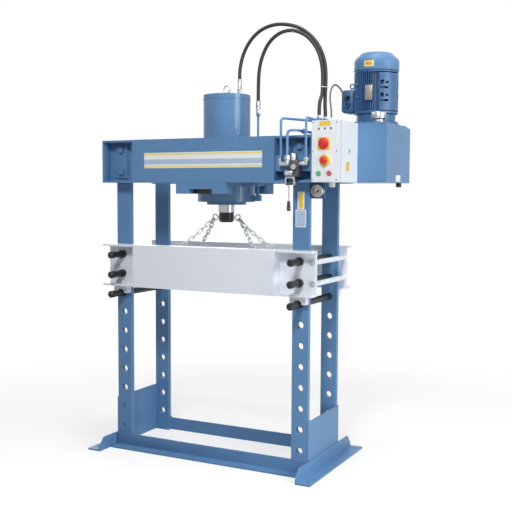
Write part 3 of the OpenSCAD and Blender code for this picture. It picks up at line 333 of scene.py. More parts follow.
def clear_glass():
    """Gauge glass, float: clear, with a trace of dust in its gloss."""
    material, tree, out, place = start("Gauge glass, float")
    dust_mm = 11.1
    dust = add(tree, "ShaderNodeTexNoise", {"Scale": 1 / (dust_mm * MM), "Vector": place})
    haze = add(tree, "ShaderNodeMapRange", {"To Min": 0.0, "To Max": 0.06, "Value": dust})
    body = add(tree, "ShaderNodeBsdfPrincipled", {"Base Color": linear("#F4F8F8"), "IOR": 1.05,
                                                  "Transmission Weight": 1.0, "Roughness": haze})
    tree.links.new(body.outputs[0], out.inputs["Surface"])
    return material


def finishes(hues):
    """Makes all finishes of the press, by their short keys."""
    for key, (_, name, colour, *rest) in FINISHES.items():
        SKIN[key] = grained(name, getattr(hues, colour, colour), *rest)
    SKIN["glass"] = clear_glass()


def at(x, y, z, way="up"):
    """Matrix at a point in millimetres whose Z axis looks one way."""
    return Matrix.Translation(Vector((x, y, z)) * MM) @ WAYS[way]


def along(point, ahead):
    """Matrix at a point in millimetres whose Z axis follows a direction."""
    turn = Vector(ahead).to_track_quat("Z", "X").to_matrix().to_4x4()
    return Matrix.Translation(Vector(point) * MM) @ turn


def around(centre, angles):
    """Matrices at an upright axis, each turned by its degrees."""
    return [at(*centre, 0) @ Matrix.Rotation(math.radians(angle), 4, "Z") for angle in angles]


def circle(centre, radius, angle):
    """A point round an axis, and the direction outward, at an angle in degrees."""
    turn = math.radians(angle)
    out = Vector((math.cos(turn), math.sin(turn)))
    return Vector(centre) + radius * out, out.to_3d()


def faces(columns, y, heights):
    """Matrices on the front and rear face of the press that look outward."""
    return [at(x, side * y, z, "front" if side < 0 else "back")
            for x in columns for z in heights for side in (-1, 1)]


def panel(x, z):
    """Matrix on the cabinet's front that looks forward."""
    return at(x, PANEL_Y, z, "front")


def disc(radius, low, high):
    """Profile of a plain turned length."""
    return [(0, low), (radius, low), (radius, high), (0, high)]


def block(bm, low, high, rounding=0.0):
    """A box between two corners in millimetres, its edges rounded."""
    low, high = Vector(low) * MM, Vector(high) * MM
    made = bmesh.ops.create_cube(bm, size=1.0)["verts"]
    for v in made:
        v.co = Vector(low[i] + (v.co[i] + 0.5) * (high[i] - low[i]) for i in range(3))
    if rounding:
        edges = {e for v in made for e in v.link_edges}
        bmesh.ops.bevel(bm, geom=list(edges), offset=rounding * MM, segments=2, profile=0.5,
                        affect="EDGES")


def turned(bm, profile, place=WAYS["up"], steps=40):
    """A turned solid from (radius, height) pairs in millimetres along the Z axis of a matrix.

    Six steps make a hexagon, and a profile that ends where it starts makes a ring."""
    rings = []
    for radius, height in profile:
        if rings and (radius, height) == profile[0]:
            rings.append(rings[0])
            continue
        turns = [2 * math.pi * k / steps for k in range(steps if radius else 1)]
        rings.append([bm.verts.new(place @ (Vector((radius * math.cos(turn), radius * math.sin(turn),
                                                    height)) * MM)) for turn in turns])
    for one, two in zip(rings, rings[1:]):
        for k in range(steps):
            n = (k + 1) % steps
            corners = [one[k % len(one)], one[n % len(one)], two[n % len(two)], two[k % len(two)]]
            bm.faces.new(list(dict.fromkeys(corners)))


def ring(bm, radius, wire, place, steps=36, parts=12):
    """A round ring of wire, flat across the Z axis of a matrix."""
    turns = [2 * math.pi * k / parts for k in range(parts)]
    section = [(radius + wire * math.cos(turn), wire * math.sin(turn)) for turn in turns]
    turned(bm, section + section[:1], place, steps)


def prism(bm, outline, low, high):
    """An outline in millimetres across X and Y, drawn out along Z."""
    ends = [[bm.verts.new(Vector((x, y, z)) * MM) for x, y in outline] for z in (low, high)]
    bm.faces.new(ends[0][::-1])
    bm.faces.new(ends[1])
    for k in range(len(outline)):
        n = (k + 1) % len(outline)
        bm.faces.new((ends[0][k], ends[0][n], ends[1][n], ends[1][k]))


def curved(bm, centre, radius, thick, angles, heights, holes=()):
    """A plate round an upright axis, on a grid of degrees and heights, with cells left open."""
    corners = {}

    def corner(i, j, layer):
        if (i, j, layer) not in corners:
            spot, _ = circle(centre, radius - thick * layer, angles[i])
            corners[i, j, layer] = bm.verts.new(Vector((*spot, heights[j])) * MM)
        return corners[i, j, layer]

    cells = {(i, j) for i in range(len(angles) - 1) for j in range(len(heights) - 1)} - set(holes)
    for i, j in sorted(cells):
        loop = [(i, j), (i + 1, j), (i + 1, j + 1), (i, j + 1)]
        bm.faces.new([corner(*p, 0) for p in loop])
        bm.faces.new([corner(*p, 1) for p in reversed(loop)])
        for k, (di, dj) in enumerate(((0, -1), (1, 0), (0, 1), (-1, 0))):
            if (i + di, j + dj) not in cells:
                p, q = loop[k], loop[(k + 1) % 4]
                bm.faces.new((corner(*q, 0), corner(*p, 0), corner(*p, 1), corner(*q, 1)))


def hex_head(bm, radius, height, washer, thick):
    """A hexagon head on a washer, standing on a face."""
    turned(bm, [(0, 0), (washer, 0), (washer, thick - 0.5), (washer - 0.5, thick), (0, thick)],
           steps=32)
    turned(bm, [(0, thick), (radius, thick), (radius, height - 0.12 * radius),
                (0.88 * radius, height), (0, height)], steps=6)


def slotted_head(bm, radius, height):
    """A pan head with a screwdriver slot."""
    turned(bm, disc(radius, 0, 0.55 * height), steps=20)
    reach = 0.96 * radius
    edge = math.asin(0.14)
    arc = [edge + (math.pi - 2 * edge) * k / 10 for k in range(11)]
    for side in (1, -1):
        outline = [(reach * math.cos(a), side * reach * math.sin(a)) for a in arc]
        prism(bm, outline[::side], 0.5 * height, height)


def nut(bm, point, ahead, radius, length):
    """A hexagon nut round a pipe, its corners turned off."""
    flat = 0.12 * radius
    turned(bm, [(0, 0), (radius - flat, 0), (radius, flat), (radius, length - flat),
                (radius - flat, length), (0, length)], along(point, ahead), 6)


def tie(bm, one, two, reach, wide, thick, steps=24):
    """A flat strap round two hoses, from their centres in millimetres."""
    one, two = Vector(one), Vector(two)
    apart = (two - one).length / 2
    turn = (two - one).to_track_quat("X", "Y").to_matrix().to_4x4()
    place = Matrix.Translation((one + two) / 2 * MM) @ turn
    rings = []
    for r, z in ((reach, -wide / 2), (reach + thick, -wide / 2), (reach + thick, wide / 2),
                 (reach, wide / 2)):
        loop = []
        for k in range(steps):
            turn = 2 * math.pi * (k + 0.5) / steps
            x = r * math.cos(turn) + math.copysign(apart, math.cos(turn))
            loop.append(bm.verts.new(place @ (Vector((x, z, r * math.sin(turn))) * MM)))
        rings.append(loop)
    for near, far in zip(rings, rings[1:] + rings[:1]):
        for i in range(steps):
            n = (i + 1) % steps
            bm.faces.new((near[i], near[n], far[n], far[i]))


def shaded(mesh, angle):
    """Smooth shading with sharp edges past an angle in degrees."""
    mesh.shade_smooth()
    mesh.set_sharp_from_angle(angle=math.radians(angle))
    return mesh


def built(name, shapes, angle=SMOOTH_ANGLE):
    """A mesh of shapes, each a function of the ones above with what it takes."""
    bm = bmesh.new()
    for shape, *given in shapes:
        shape(bm, *given)
    bmesh.ops.recalc_face_normals(bm, faces=bm.faces)
    mesh = bpy.data.meshes.new(name)
    bm.to_mesh(mesh)
    bm.free()
    return shaded(mesh, angle)


def place_piece(name, data, body):
    """An object of its own on a body."""
    obj = bpy.data.objects.new(name, data)
    bpy.context.scene.collection.objects.link(obj)
    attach(obj, body)
    return obj


def make(name, key, shapes, body="frame", node=None, angle=SMOOTH_ANGLE):
    """Builds shapes into one finished piece on a body, in place of a CAD node if one is named."""
    mesh = built(name, shapes, angle)
    mesh.materials.append(SKIN[key])
    obj = place_piece(name, mesh, body)
    if node:
        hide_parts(node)


def paint(key, *nodes):
    """Gives CAD nodes a finish."""
    for name in nodes:
        slots = NODES[name].data.materials
        slots.clear()
        slots.append(SKIN[key])


def eased(node, key, width, body="frame", second=None, where=None, name=None):
    """A copy of a CAD node with broken edges and smooth rounds, in its place.

    A second finish goes on the faces whose centre in millimetres passes a test."""
    bm = bmesh.new()
    bm.from_mesh(NODES[node].data)
    bmesh.ops.remove_doubles(bm, verts=bm.verts, dist=SAME_POINT)
    bmesh.ops.dissolve_limit(bm, angle_limit=math.radians(FLAT_ANGLE), verts=bm.verts, edges=bm.edges)
    name = name or node + "_eased"
    mesh = bpy.data.meshes.new(name)
    bm.to_mesh(mesh)
    bm.free()
    shaded(mesh, EASED_ANGLE)
    mesh.materials.append(SKIN[key])
    if second:
        mesh.materials.append(SKIN[second])
        for face in mesh.polygons:
            face.material_index = int(where(face.center / MM))
    obj = place_piece(name, mesh, body)
    bevel = obj.modifiers.new("Broken edges", "BEVEL")
    bevel.width = width
    bevel.segments = 2
    bevel.limit_method = "ANGLE"
    bevel.angle_limit = math.radians(BEVEL_ANGLE)
    bevel.harden_normals = True
    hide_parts(node)


def new_tree(name, inputs):
    """An empty geometry tree with named inputs, and the sockets that they come in by."""
    known = bpy.data.node_groups.get(name)
    if known:
        bpy.data.node_groups.remove(known)
    tree = bpy.data.node_groups.new(name, "GeometryNodeTree")
    tree.interface.new_socket("Seeds", in_out="INPUT", socket_type="NodeSocketGeometry")
    for label, kind in inputs.items():
        tree.interface.new_socket(label, in_out="INPUT", socket_type="NodeSocket" + kind)
    tree.interface.new_socket("Piece", in_out="OUTPUT", socket_type="NodeSocketGeometry")
    return tree, add(tree, "NodeGroupInput").outputs


def close_tree(tree, given, shape):
    """Ends a geometry tree in plain faces with the finish that its input names."""
    plain = add(tree, "GeometryNodeRealizeInstances", {"Geometry": shape})
    done = add(tree, "GeometryNodeSetMaterial", {"Geometry": plain, "Material": given["Finish"]})
    add(tree, "NodeGroupOutput", {0: done})
    return tree


def on_seeds(tree, given, shape):
    """Ends a geometry tree with a shape on every seed point, turned as the seed says."""
    seat = add(tree, "GeometryNodeInputNamedAttribute", {"data_type": "FLOAT_VECTOR", "Name": "turn"})
    turn = add(tree, "FunctionNodeEulerToRotation", {0: seat})
    rows = add(tree, "GeometryNodeInstanceOnPoints",
               {"Points": given["Seeds"], "Instance": shape, "Rotation": turn})
    return close_tree(tree, given, rows)


def fastener_tree():
    """Sets one shape on every seed point."""
    tree, given = new_tree("Fasteners on points", {"Shape": "Object", "Finish": "Material"})
    shape = add(tree, "GeometryNodeObjectInfo",
                {"transform_space": "ORIGINAL", "Object": given["Shape"]})
    return on_seeds(tree, given, shape.outputs["Geometry"])


def link_tree():
    """Bends an oval link of round wire and sets one on every seed point."""
    tree, given = new_tree("Chain links", {"Wire": "Float", "Inside width": "Float",
                                           "Inside length": "Float", "Finish": "Material"})
    wide = add(tree, "ShaderNodeMath",
               {"operation": "ADD", 0: given["Inside width"], 1: given["Wire"]})
    bend = add(tree, "ShaderNodeMath", {"operation": "MULTIPLY", 0: wide, 1: 0.5})
    spare = add(tree, "ShaderNodeMath",
                {"operation": "SUBTRACT", 0: given["Inside length"], 1: given["Inside width"]})
    straight = add(tree, "ShaderNodeMath", {"operation": "MULTIPLY", 0: spare, 1: 0.5})
    loop = add(tree, "GeometryNodeCurvePrimitiveCircle",
               {"mode": "RADIUS", "Resolution": 20, "Radius": bend})
    parts = add(tree, "ShaderNodeSeparateXYZ", {0: add(tree, "GeometryNodeInputPosition")})
    side = add(tree, "ShaderNodeMath", {"operation": "SIGN", 0: parts.outputs["Y"]})
    pull = add(tree, "ShaderNodeMath", {"operation": "MULTIPLY", 0: side, 1: straight})
    shift = add(tree, "ShaderNodeCombineXYZ", {"Y": pull})
    oval = add(tree, "GeometryNodeSetPosition", {"Geometry": loop, "Offset": shift})
    thick = add(tree, "ShaderNodeMath", {"operation": "MULTIPLY", 0: given["Wire"], 1: 0.5})
    section = add(tree, "GeometryNodeCurvePrimitiveCircle",
                  {"mode": "RADIUS", "Resolution": 8, "Radius": thick})
    wire = add(tree, "GeometryNodeCurveToMesh", {"Curve": oval, "Profile Curve": section})
    stood = add(tree, "GeometryNodeTransform",
                {"Rotation": (math.pi / 2, 0, math.pi / 2), "Geometry": wire})
    return on_seeds(tree, given, add(tree, "GeometryNodeSetShadeSmooth", {"Geometry": stood}))


def weld_tree():
    """Lays a fillet weld along every seed edge, as drops on a root of wire."""
    tree, given = new_tree("Fillet welds", {"Width": "Float", "Pitch": "Float", "Finish": "Material"})
    path = add(tree, "GeometryNodeMeshToCurve", {"Mesh": given["Seeds"]})
    steps = add(tree, "GeometryNodeResampleCurve",
                {"mode": "LENGTH", "Curve": path, "Length": given["Pitch"]})
    reach = add(tree, "ShaderNodeMath", {"operation": "MULTIPLY", 0: given["Width"], 1: 0.5})
    drop = add(tree, "GeometryNodeMeshIcoSphere", {"Subdivisions": 1, "Radius": reach})
    turn = add(tree, "FunctionNodeAlignRotationToVector",
               {"axis": "X", "Vector": add(tree, "GeometryNodeInputTangent")})
    size = add(tree, "FunctionNodeRandomValue",
               {"data_type": "FLOAT_VECTOR", 0: (0.8, 0.85, 0.85), 1: (1.15, 1.1, 1.1), "Seed": 4})
    drops = add(tree, "GeometryNodeInstanceOnPoints",
                {"Points": steps, "Instance": drop, "Rotation": turn, "Scale": size})
    core = add(tree, "ShaderNodeMath", {"operation": "MULTIPLY", 0: given["Width"], 1: 0.36})
    section = add(tree, "GeometryNodeCurvePrimitiveCircle",
                  {"mode": "RADIUS", "Resolution": 6, "Radius": core})
    root = add(tree, "GeometryNodeCurveToMesh",
               {"Fill Caps": True, "Curve": steps, "Profile Curve": section})
    both = add(tree, "GeometryNodeJoinGeometry", {"Geometry": drops})
    tree.links.new(root.outputs[0], both.inputs["Geometry"])
    return close_tree(tree, given, add(tree, "GeometryNodeSetShadeSmooth", {"Geometry": both}))


def seeds(places):
    """A mesh of loose points, one for each matrix, with its turn."""
    mesh = bpy.data.meshes.new("Seeds")
    mesh.from_pydata([place.translation for place in places], [], [])
    turn = mesh.attributes.new("turn", "FLOAT_VECTOR", "POINT")
    for row, place in zip(turn.data, places):
        row.vector = place.to_euler()
    return mesh


def seams(paths):
    """A mesh of loose edges along paths in millimetres."""
    mesh = bpy.data.meshes.new("Seams")
    points, edges = [], []
    for path in paths:
        first = len(points)
        points += [Vector(p) * MM for p in path]
        edges += [(k, k + 1) for k in range(first, len(points) - 1)]
    mesh.from_pydata(points, edges, [])
    return mesh


def grow(name, tree, mesh, values, key, body="frame"):
    """Runs a geometry tree on a mesh of seeds and keeps the outcome as a plain piece."""
    carrier = bpy.data.objects.new(name + "_seeds", mesh)
    bpy.context.scene.collection.objects.link(carrier)
    modifier = carrier.modifiers.new("Grow", "NODES")
    modifier.node_group = tree
    values = {"Finish": SKIN[key], **values}
    for item in tree.interface.items_tree:
        if item.in_out == "INPUT" and item.name in values:
            modifier[item.identifier] = values[item.name]
    graph = bpy.context.evaluated_depsgraph_get()
    grown = bpy.data.meshes.new_from_object(carrier.evaluated_get(graph), depsgraph=graph)
    grown.name = name
    carrier.modifiers.remove(modifier)
    bpy.data.objects.remove(carrier)
    if not grown.polygons:
        raise RuntimeError(name + " came out of its tree empty")
    return place_piece(name, grown, body)


def scatter(name, key, places, shapes, body="frame", node=None):
    """Sets shapes on many places, as one piece."""
    mesh = built(name + "_shape", shapes)
    shape = bpy.data.objects.new(name + "_shape", mesh)
    piece = grow(name, fastener_tree(), seeds(places), {"Shape": shape}, key, body)
    bpy.data.objects.remove(shape)
    bpy.data.meshes.remove(mesh)
    if node:
        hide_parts(node)


def smooth_line(points, parts=6):
    """Points of one smooth curve through a route in millimetres."""
    route = [Vector(p) * MM for p in points]
    line = []
    for i in range(len(route) - 1):
        a = route[max(i - 1, 0)]
        b, c = route[i], route[i + 1]
        d = route[min(i + 2, len(route) - 1)]
        for k in range(parts):
            t = k / parts
            line.append(0.5 * (2 * b + (c - a) * t + (2 * a - 5 * b + 4 * c - d) * t * t
                               + (3 * b - a - 3 * c + d) * t ** 3))
    return line + [route[-1]]


def lay_cord(name, node, points, diameter, key):
    """A hose or cable as one curve along its route, in place of its CAD solid."""
    line = smooth_line(points)
    data = bpy.data.curves.new(name, "CURVE")
    data.dimensions = "3D"
    data.bevel_depth = diameter / 2
    data.bevel_resolution = 6
    data.use_fill_caps = True
    spline = data.splines.new("POLY")
    spline.points.add(len(line) - 1)
    for point, spot in zip(spline.points, line):
        point.co = (*spot, 1.0)
    spline.use_smooth = True
    data.materials.append(SKIN[key])
    obj = place_piece(name, data, "frame")
    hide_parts(node)


class PRESS_OT_stage(bpy.types.Operator):
    """Sets the camera of the photograph, the pale floor and the studio light"""
    bl_idname = "press.stage"
    bl_label = "Stage"

    def execute(self, context):
        scene = context.scene
        scene.view_settings.view_transform = "Standard"
        finishes(scene.press_colours)
        self.camera(scene)
        self.floor(scene)
        self.light(scene)
        return {"FINISHED"}

    def camera(self, scene):
        """The photograph's camera, turned to the left, tilted down and rolled a little."""
        turn, tilt, roll = (math.radians(a) for a in (CAMERA_TURN, CAMERA_TILT, CAMERA_ROLL))
        ahead = Vector((-math.sin(turn) * math.cos(tilt), math.cos(turn) * math.cos(tilt),
                        -math.sin(tilt)))
        right = Vector((math.cos(turn), math.sin(turn), 0))
        up = right.cross(ahead)
        across = math.cos(roll) * right + math.sin(roll) * up
        above = -math.sin(roll) * right + math.cos(roll) * up
        place = Matrix((across, above, -ahead)).transposed().to_4x4()
        place.translation = CAMERA_SPOT
        data = bpy.data.cameras.new("Photo camera")
        data.sensor_width = CAMERA_SENSOR
        data.lens = CAMERA_LENS
        data.clip_end = 60
        camera = bpy.data.objects.new("Photo camera", data)
        scene.collection.objects.link(camera)
        camera.matrix_world = place
        scene.camera = camera

    def floor(self, scene):
        """White paper that keeps the shadow near the press and is plain white further out."""
        bm = bmesh.new()
        bmesh.ops.create_grid(bm, x_segments=1, y_segments=1, size=FLOOR_REACH,
                              matrix=Matrix.Translation((0, 0, -FLOOR_DROP)))
        mesh = bpy.data.meshes.new("Floor")
        bm.to_mesh(mesh)
        bm.free()
        floor = bpy.data.objects.new("Floor", mesh)
        scene.collection.objects.link(floor)
        material, tree, out, place = start("White paper floor")
        weave_mm = 5
        weave = add(tree, "ShaderNodeTexNoise", {"Scale": 1 / (weave_mm * MM), "Vector": place})
        tone = add(tree, "ShaderNodeMapRange", {"To Min": 0.52, "To Max": 0.54, "Value": weave})
        paper = add(tree, "ShaderNodeBsdfDiffuse", {"Color": tone})
        grey = add(tree, "ShaderNodeBsdfDiffuse", {"Color": (SHADOW_GREY,) * 3 + (1,)})
        lift = add(tree, "ShaderNodeEmission", {"Strength": SHADOW_LIFT})
        near = add(tree, "ShaderNodeAddShader", {0: grey, 1: lift})
        far = add(tree, "ShaderNodeEmission", {"Strength": 1.0})
        reach = add(tree, "ShaderNodeVectorMath", {"operation": "LENGTH", 0: place})
        fade = add(tree, "ShaderNodeMapRange",
                   {"interpolation_type": "SMOOTHSTEP", "From Min": SHADOW_NEAR,
                    "From Max": SHADOW_FAR, "Value": reach.outputs["Value"]})
        shown = add(tree, "ShaderNodeMixShader", {0: fade, 1: near, 2: far})
        both = add(tree, "ShaderNodeMixShader", {0: self.seen(tree), 1: paper, 2: shown})
        tree.links.new(both.outputs[0], out.inputs["Surface"])
        mesh.materials.append(material)

    def seen(self, tree):
        """Whether a ray comes from the camera, a reflection or a glass."""
        ray = add(tree, "ShaderNodeLightPath").outputs
        either = add(tree, "ShaderNodeMath",
                     {"operation": "MAXIMUM", 0: ray["Is Camera Ray"], 1: ray["Is Glossy Ray"]})
        return add(tree, "ShaderNodeMath",
                   {"operation": "MAXIMUM", 0: either, 1: ray["Is Transmission Ray"]})

    def light(self, scene):
        """A surround that is white to the eye and dim as a light, and the lamps."""
        world = bpy.data.worlds.new("Studio")
        scene.world = world
        world.use_nodes = True
        tree = world.node_tree
        tree.nodes.clear()
        strength = add(tree, "ShaderNodeMapRange",
                       {"To Min": FILL, "To Max": 1.0, "Value": self.seen(tree)})
        sky = add(tree, "ShaderNodeBackground", {"Color": (1, 1, 1, 1), "Strength": strength})
        add(tree, "ShaderNodeOutputWorld", {"Surface": sky})
        for name, spot, aim, size, power in LAMPS:
            data = bpy.data.lights.new(name, "AREA")
            data.size = size
            data.energy = power
            lamp = bpy.data.objects.new(name, data)
            scene.collection.objects.link(lamp)
            lamp.visible_camera = False
            lamp.location = spot
            way = Vector(aim) - Vector(spot)
            lamp.rotation_euler = way.to_track_quat("-Z", "Y").to_euler()


class PRESS_OT_cords(bpy.types.Operator):
    """Lays the two hoses and the motor cable along their routes, with their ends and ties"""
    bl_idname = "press.cords"
    bl_label = "Hoses and cable"

    def execute(self, context):
        sizes = context.scene.press_sizes
        lay_cord("Hose_to_cap", "hose_a", HOSE_A, sizes.hose, "rubber")
        lay_cord("Hose_to_flange", "hose_b", HOSE_B, sizes.hose, "rubber")
        lay_cord("Motor_cable", "motor_cable", CABLE, sizes.cable, "pvc")

        # Swivel nuts, pressed ferrules, and the stub under each nut
        stub = 3
        ends = []
        for (x, y, high), low, hexed in ((HOSE_A[0], 2179, 2211), (HOSE_B[0], 2062, 2088)):
            ends += [(turned, disc(13, low, low + stub), at(x, y, 0)),
                     (nut, (x, y, low + stub), UP, 17, hexed - low - stub),
                     (turned, self.ferrule(hexed, high), at(x, y, 0))]
        ends += [(nut, (HOSE_X, y, HOSE_BLOCK_TOP), UP, 15.5, 15) for y in HOSE_ROWS]
        make("Hose_ends", "zinc", ends, node="hydraulic_fittings")

        # Blocks under the hoses and at the flange, painted with the frame
        blocks = []
        for y in HOSE_ROWS:
            blocks += [(block, (630, y - 15, 1985), (660, y + 15, HOSE_BLOCK_TOP), 2),
                       (turned, [(0, 1914), (15, 1914), (15, 1917), (11, 1919), (11, 1986), (0, 1986)],
                        at(HOSE_X, y, 0))]
        make("Hose_blocks", "blue", blocks + [(block, (182, -18, 1543), (232, 18, 1579), 2)])
        strap = (11.2, 5, 1.4)
        make("Hose_ties", "nylon", [(tie, (448, 0, 2556), (448, -20, 2527), *strap),
                                    (tie, (645, 0, 2197), (635, -22, 2197), *strap)])
        return {"FINISHED"}

    def ferrule(self, low, high, rings=4):
        """Profile of a pressed ferrule with its crimp rings."""
        profile = [(0, low), (12.2, low), (13.6, low + 1.5)]
        pitch = (high - low - 6) / rings
        for k in range(rings):
            base = low + 4 + k * pitch
            profile += [(13.6, base), (12.7, base + 0.2 * pitch), (12.7, base + 0.5 * pitch),
                        (13.6, base + 0.7 * pitch)]
        return profile + [(13.6, high - 1.5), (12.4, high), (0, high)]


class PRESS_OT_frame(bpy.types.Operator):
    """Finishes the columns, the base and the crown with its welds"""
    bl_idname = "press.frame"
    bl_label = "Frame and crown"

    def execute(self, context):
        sizes = context.scene.press_sizes
        for node in ("columns_left", "columns_right", "side_gussets", "base_frame", "head_block"):
            eased(node, "blue", sizes.edge)
        for part in ("beam_front", "beam_rear", "plates"):
            eased("crown_" + part, "blue", sizes.edge, name=f"top_{part}_eased")
        paths = []
        for side in (-1, 1):
            for face in (-1, 1):
                x0, x1, y = side * 557, side * 643, face * 237.6
                paths.append([(x0, y, 1678), (x1, y, 1678), (x1, y, 1878), (x0, y, 1878),
                              (x0, y, 1678)])
                paths.append([(side * 649.4, face * 196.4, z) for z in (84, 190, 303)])
        grow("Frame_welds", weld_tree(), seams(paths), {"Width": sizes.bead, "Pitch": 0.0045}, "blue")
        # Painted shade: dark plates at the back of the head's slot
        make("Head_slot_back", "dark", [(block, (-76.5, -258.6, 1585.5), (76.5, -257.1, 1611.5)),
                                        (block, (-76.5, -262, 1606), (76.5, -258.6, 1611.5), 0.8)])
        return {"FINISHED"}


class PRESS_OT_bolts(bpy.types.Operator):
    """Sets the crown's bolts with their nuts and the table's spacer bolts"""
    bl_idname = "press.bolts"
    bl_label = "Frame bolts"

    def execute(self, context):
        up = WAYS["up"]
        bolt = [(hex_head, 20.5, 15, 25, 4), (turned, disc(23, -53.5, -50.2), up, 32),
                (turned, [(0, -70), (18.2, -70), (20.5, -67.6), (20.5, -55.8), (18.2, -53.5),
                          (0, -53.5)], up, 6),
                (turned, [(0, -76), (10.4, -76), (11.8, -74.4), (11.8, -69.5), (0, -69.5)], up, 24)]
        scatter("Top_beam_bolts", "blue", faces((-COLUMN_X, COLUMN_X), BOLT_FACE_Y, (1717, 1849)),
                bolt, node="frame_bolts")
        scatter("Spacer_bolts", "zinc", faces((-676, 676), WEB_FACE_Y, (1086, 1206)),
                [(hex_head, 14.6, 10, 18, 2.6)])
        return {"FINISHED"}


class PRESS_OT_cylinder(bpy.types.Operator):
    """Finishes the cylinder, its rod and nose, and the eyes and rings"""
    bl_idname = "press.cylinder"
    bl_label = "Cylinder and ram"

    def execute(self, context):
        sizes = context.scene.press_sizes
        eased("cylinder_barrel", "gloss", 2 * sizes.edge)
        eased("cylinder_cap", "gloss", 2 * sizes.edge)
        eased("gland_ring", "blue", 2 * sizes.edge)
        rim_radius, rim_z, rim_steps = 144.4, 2150, 72
        rim = [(*circle((0, 0), rim_radius, 360 * k / rim_steps)[0], rim_z)
               for k in range(rim_steps + 1)]
        grow("Cap_weld", weld_tree(), seams([rim]), {"Width": 0.7 * sizes.bead, "Pitch": 0.004}, "blue")
        eased("lifting_eye", "links", 0.4 * sizes.edge)
        paint("rubber", "rod_seal", "piston_seal")
        paint("zinc", "piston")
        eased("piston_rod", "chrome", sizes.edge, "ram")
        eased("ram_nose", "black", sizes.edge, "ram")
        eased("ram_shackles", "links", 0.3 * sizes.edge, "ram")
        return {"FINISHED"}


class PRESS_OT_chains(bpy.types.Operator):
    """Hangs the four lifting chains between the ram's rings and the table"""
    bl_idname = "press.chains"
    bl_label = "Lifting chains"

    def execute(self, context):
        sizes = context.scene.press_sizes
        places = []
        for side in (1, -1):
            for front in (True, False):
                rows, chord = self.links(sizes.links, side, front)
                places += rows
        play = 0.6
        grown = grow("Lifting_chains", link_tree(), seeds(places),
                     {"Wire": sizes.wire, "Inside width": sizes.link,
                      "Inside length": (chord + play) * MM}, "links")
        stud = [(0, 0), (13, 0), (13, 3), (11, 4), (0, 4)]
        make("Chain_studs", "zinc", [
            (turned, stud, at(x, side * COLUMN_FACE_Y, STUD_Z, "back" if side < 0 else "front"), 24)
            for x in (-STUD_X, STUD_X) for side in (-1, 1)])
        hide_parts("lifting_chains")
        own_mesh(grown)
        return {"FINISHED"}

    def links(self, count, side, front):
        """Places of one chain's links along its sag, and the distance from link to link."""
        ring_x, ring_z, ring_r = 79, 1441, 18
        first_gap, both_gaps = 5.6, 12.2
        lean = math.radians(60 if front else 32)
        sag = 14 if front else 15
        top = Vector((ring_x + ring_r * math.sin(lean), 0, ring_z - ring_r * math.cos(lean)))
        foot = Vector((STUD_X, -212 if front else 212, STUD_Z))
        way = (foot - top).normalized()
        first = top - first_gap * way
        span = (foot - top).length + both_gaps
        half = 2 * math.atan(2 * sag / span)
        step = 2 * half / count
        radius = span / 2 / math.sin(half)
        slope = math.asin(way.z)
        turn = math.atan2(way.y, way.x)
        tip = math.pi / 2 - slope + half - step / 2
        roll = math.atan2(-math.cos(lean) * math.sin(turn),
                          math.cos(lean) * math.cos(tip) * math.cos(turn)
                          - math.sin(lean) * math.sin(tip))
        flip = Matrix.Scale(-1, 4, (1, 0, 0))
        rows = []
        for i in range(count):
            dip = slope - half + step * (i + 0.5)
            run = radius * (math.cos(step / 2) * math.sin(dip) - math.sin(slope - half))
            rise = radius * (math.cos(slope - half) - math.cos(step / 2) * math.cos(dip))
            centre = first + Vector((run * math.cos(turn), run * math.sin(turn), rise))
            place = (Matrix.Translation(centre * MM) @ Matrix.Rotation(turn, 4, "Z")
                     @ Matrix.Rotation(math.pi / 2 - dip, 4, "Y")
                     @ Matrix.Rotation(roll + math.pi / 2 * (i % 2), 4, "Z"))
            rows.append(place if side > 0 else flip @ place @ flip)
        return rows, 2 * radius * math.sin(step / 2)


class PRESS_OT_table(bpy.types.Operator):
    """Finishes the table beams with their saddles and spacers"""
    bl_idname = "press.table"
    bl_label = "Table"

    def execute(self, context):
        for node in ("table_beam_front", "table_beam_rear", "table_plates", "saddle_blocks",
                     "table_spacers"):
            eased(node, "white", context.scene.press_sizes.edge)
        return {"FINISHED"}


class PRESS_OT_pins(bpy.types.Operator):
    """Finishes the six table pins"""
    bl_idname = "press.pins"
    bl_label = "Table pins"

    def execute(self, context):
        for side in ("left", "right"):
            for level in ("upper", "middle", "lower"):
                name = f"pin_{side}_{level}"
                eased(name, "black", 1.5 * context.scene.press_sizes.edge, name)
        return {"FINISHED"}


class PRESS_OT_tank(bpy.types.Operator):
    """Finishes the oil tank with its lid, screws, filler and plug"""
    bl_idname = "press.tank"
    bl_label = "Oil tank"

    def execute(self, context):
        edge = context.scene.press_sizes.edge
        eased("tank", "blue", 2.5 * edge)
        eased("tank_lid", "blue", edge)
        spots = [(x, y) for x in (741, 1001) for y in (-14, 82, 260, 356)] + [(871, -14), (871, 356)]
        scatter("Lid_screws", "blue", [at(x, y, 1985) for x, y in spots],
                [(hex_head, 7.4, 6.5, 9.5, 1.6)])
        profile = [(0, 1962), (24, 1962), (24, 1989), (31, 1990), (31, 1994), (23, 1996), (23, 2003),
                   (34, 2006), (37, 2009), (37, 2042.5), (35.6, 2045.4), (31, 2046), (30, 2045),
                   (0, 2045)]
        make("Filler_cap", "zinc", [(turned, profile, at(*FILLER, 0), 48)], "filler", "filler_cap")
        ribs = 28
        scatter("Filler_ribs", "zinc", around(FILLER, [360 * k / ribs for k in range(ribs)]),
                [(block, (36.2, -1.7, 2009.5), (39.8, 1.7, 2042.5), 1)], "filler")
        eased("drain_plug", "black", 0.5 * edge)
        paint("iron", "pump")
        paint("zinc", "pump_coupling", "motor_rotor")
        return {"FINISHED"}


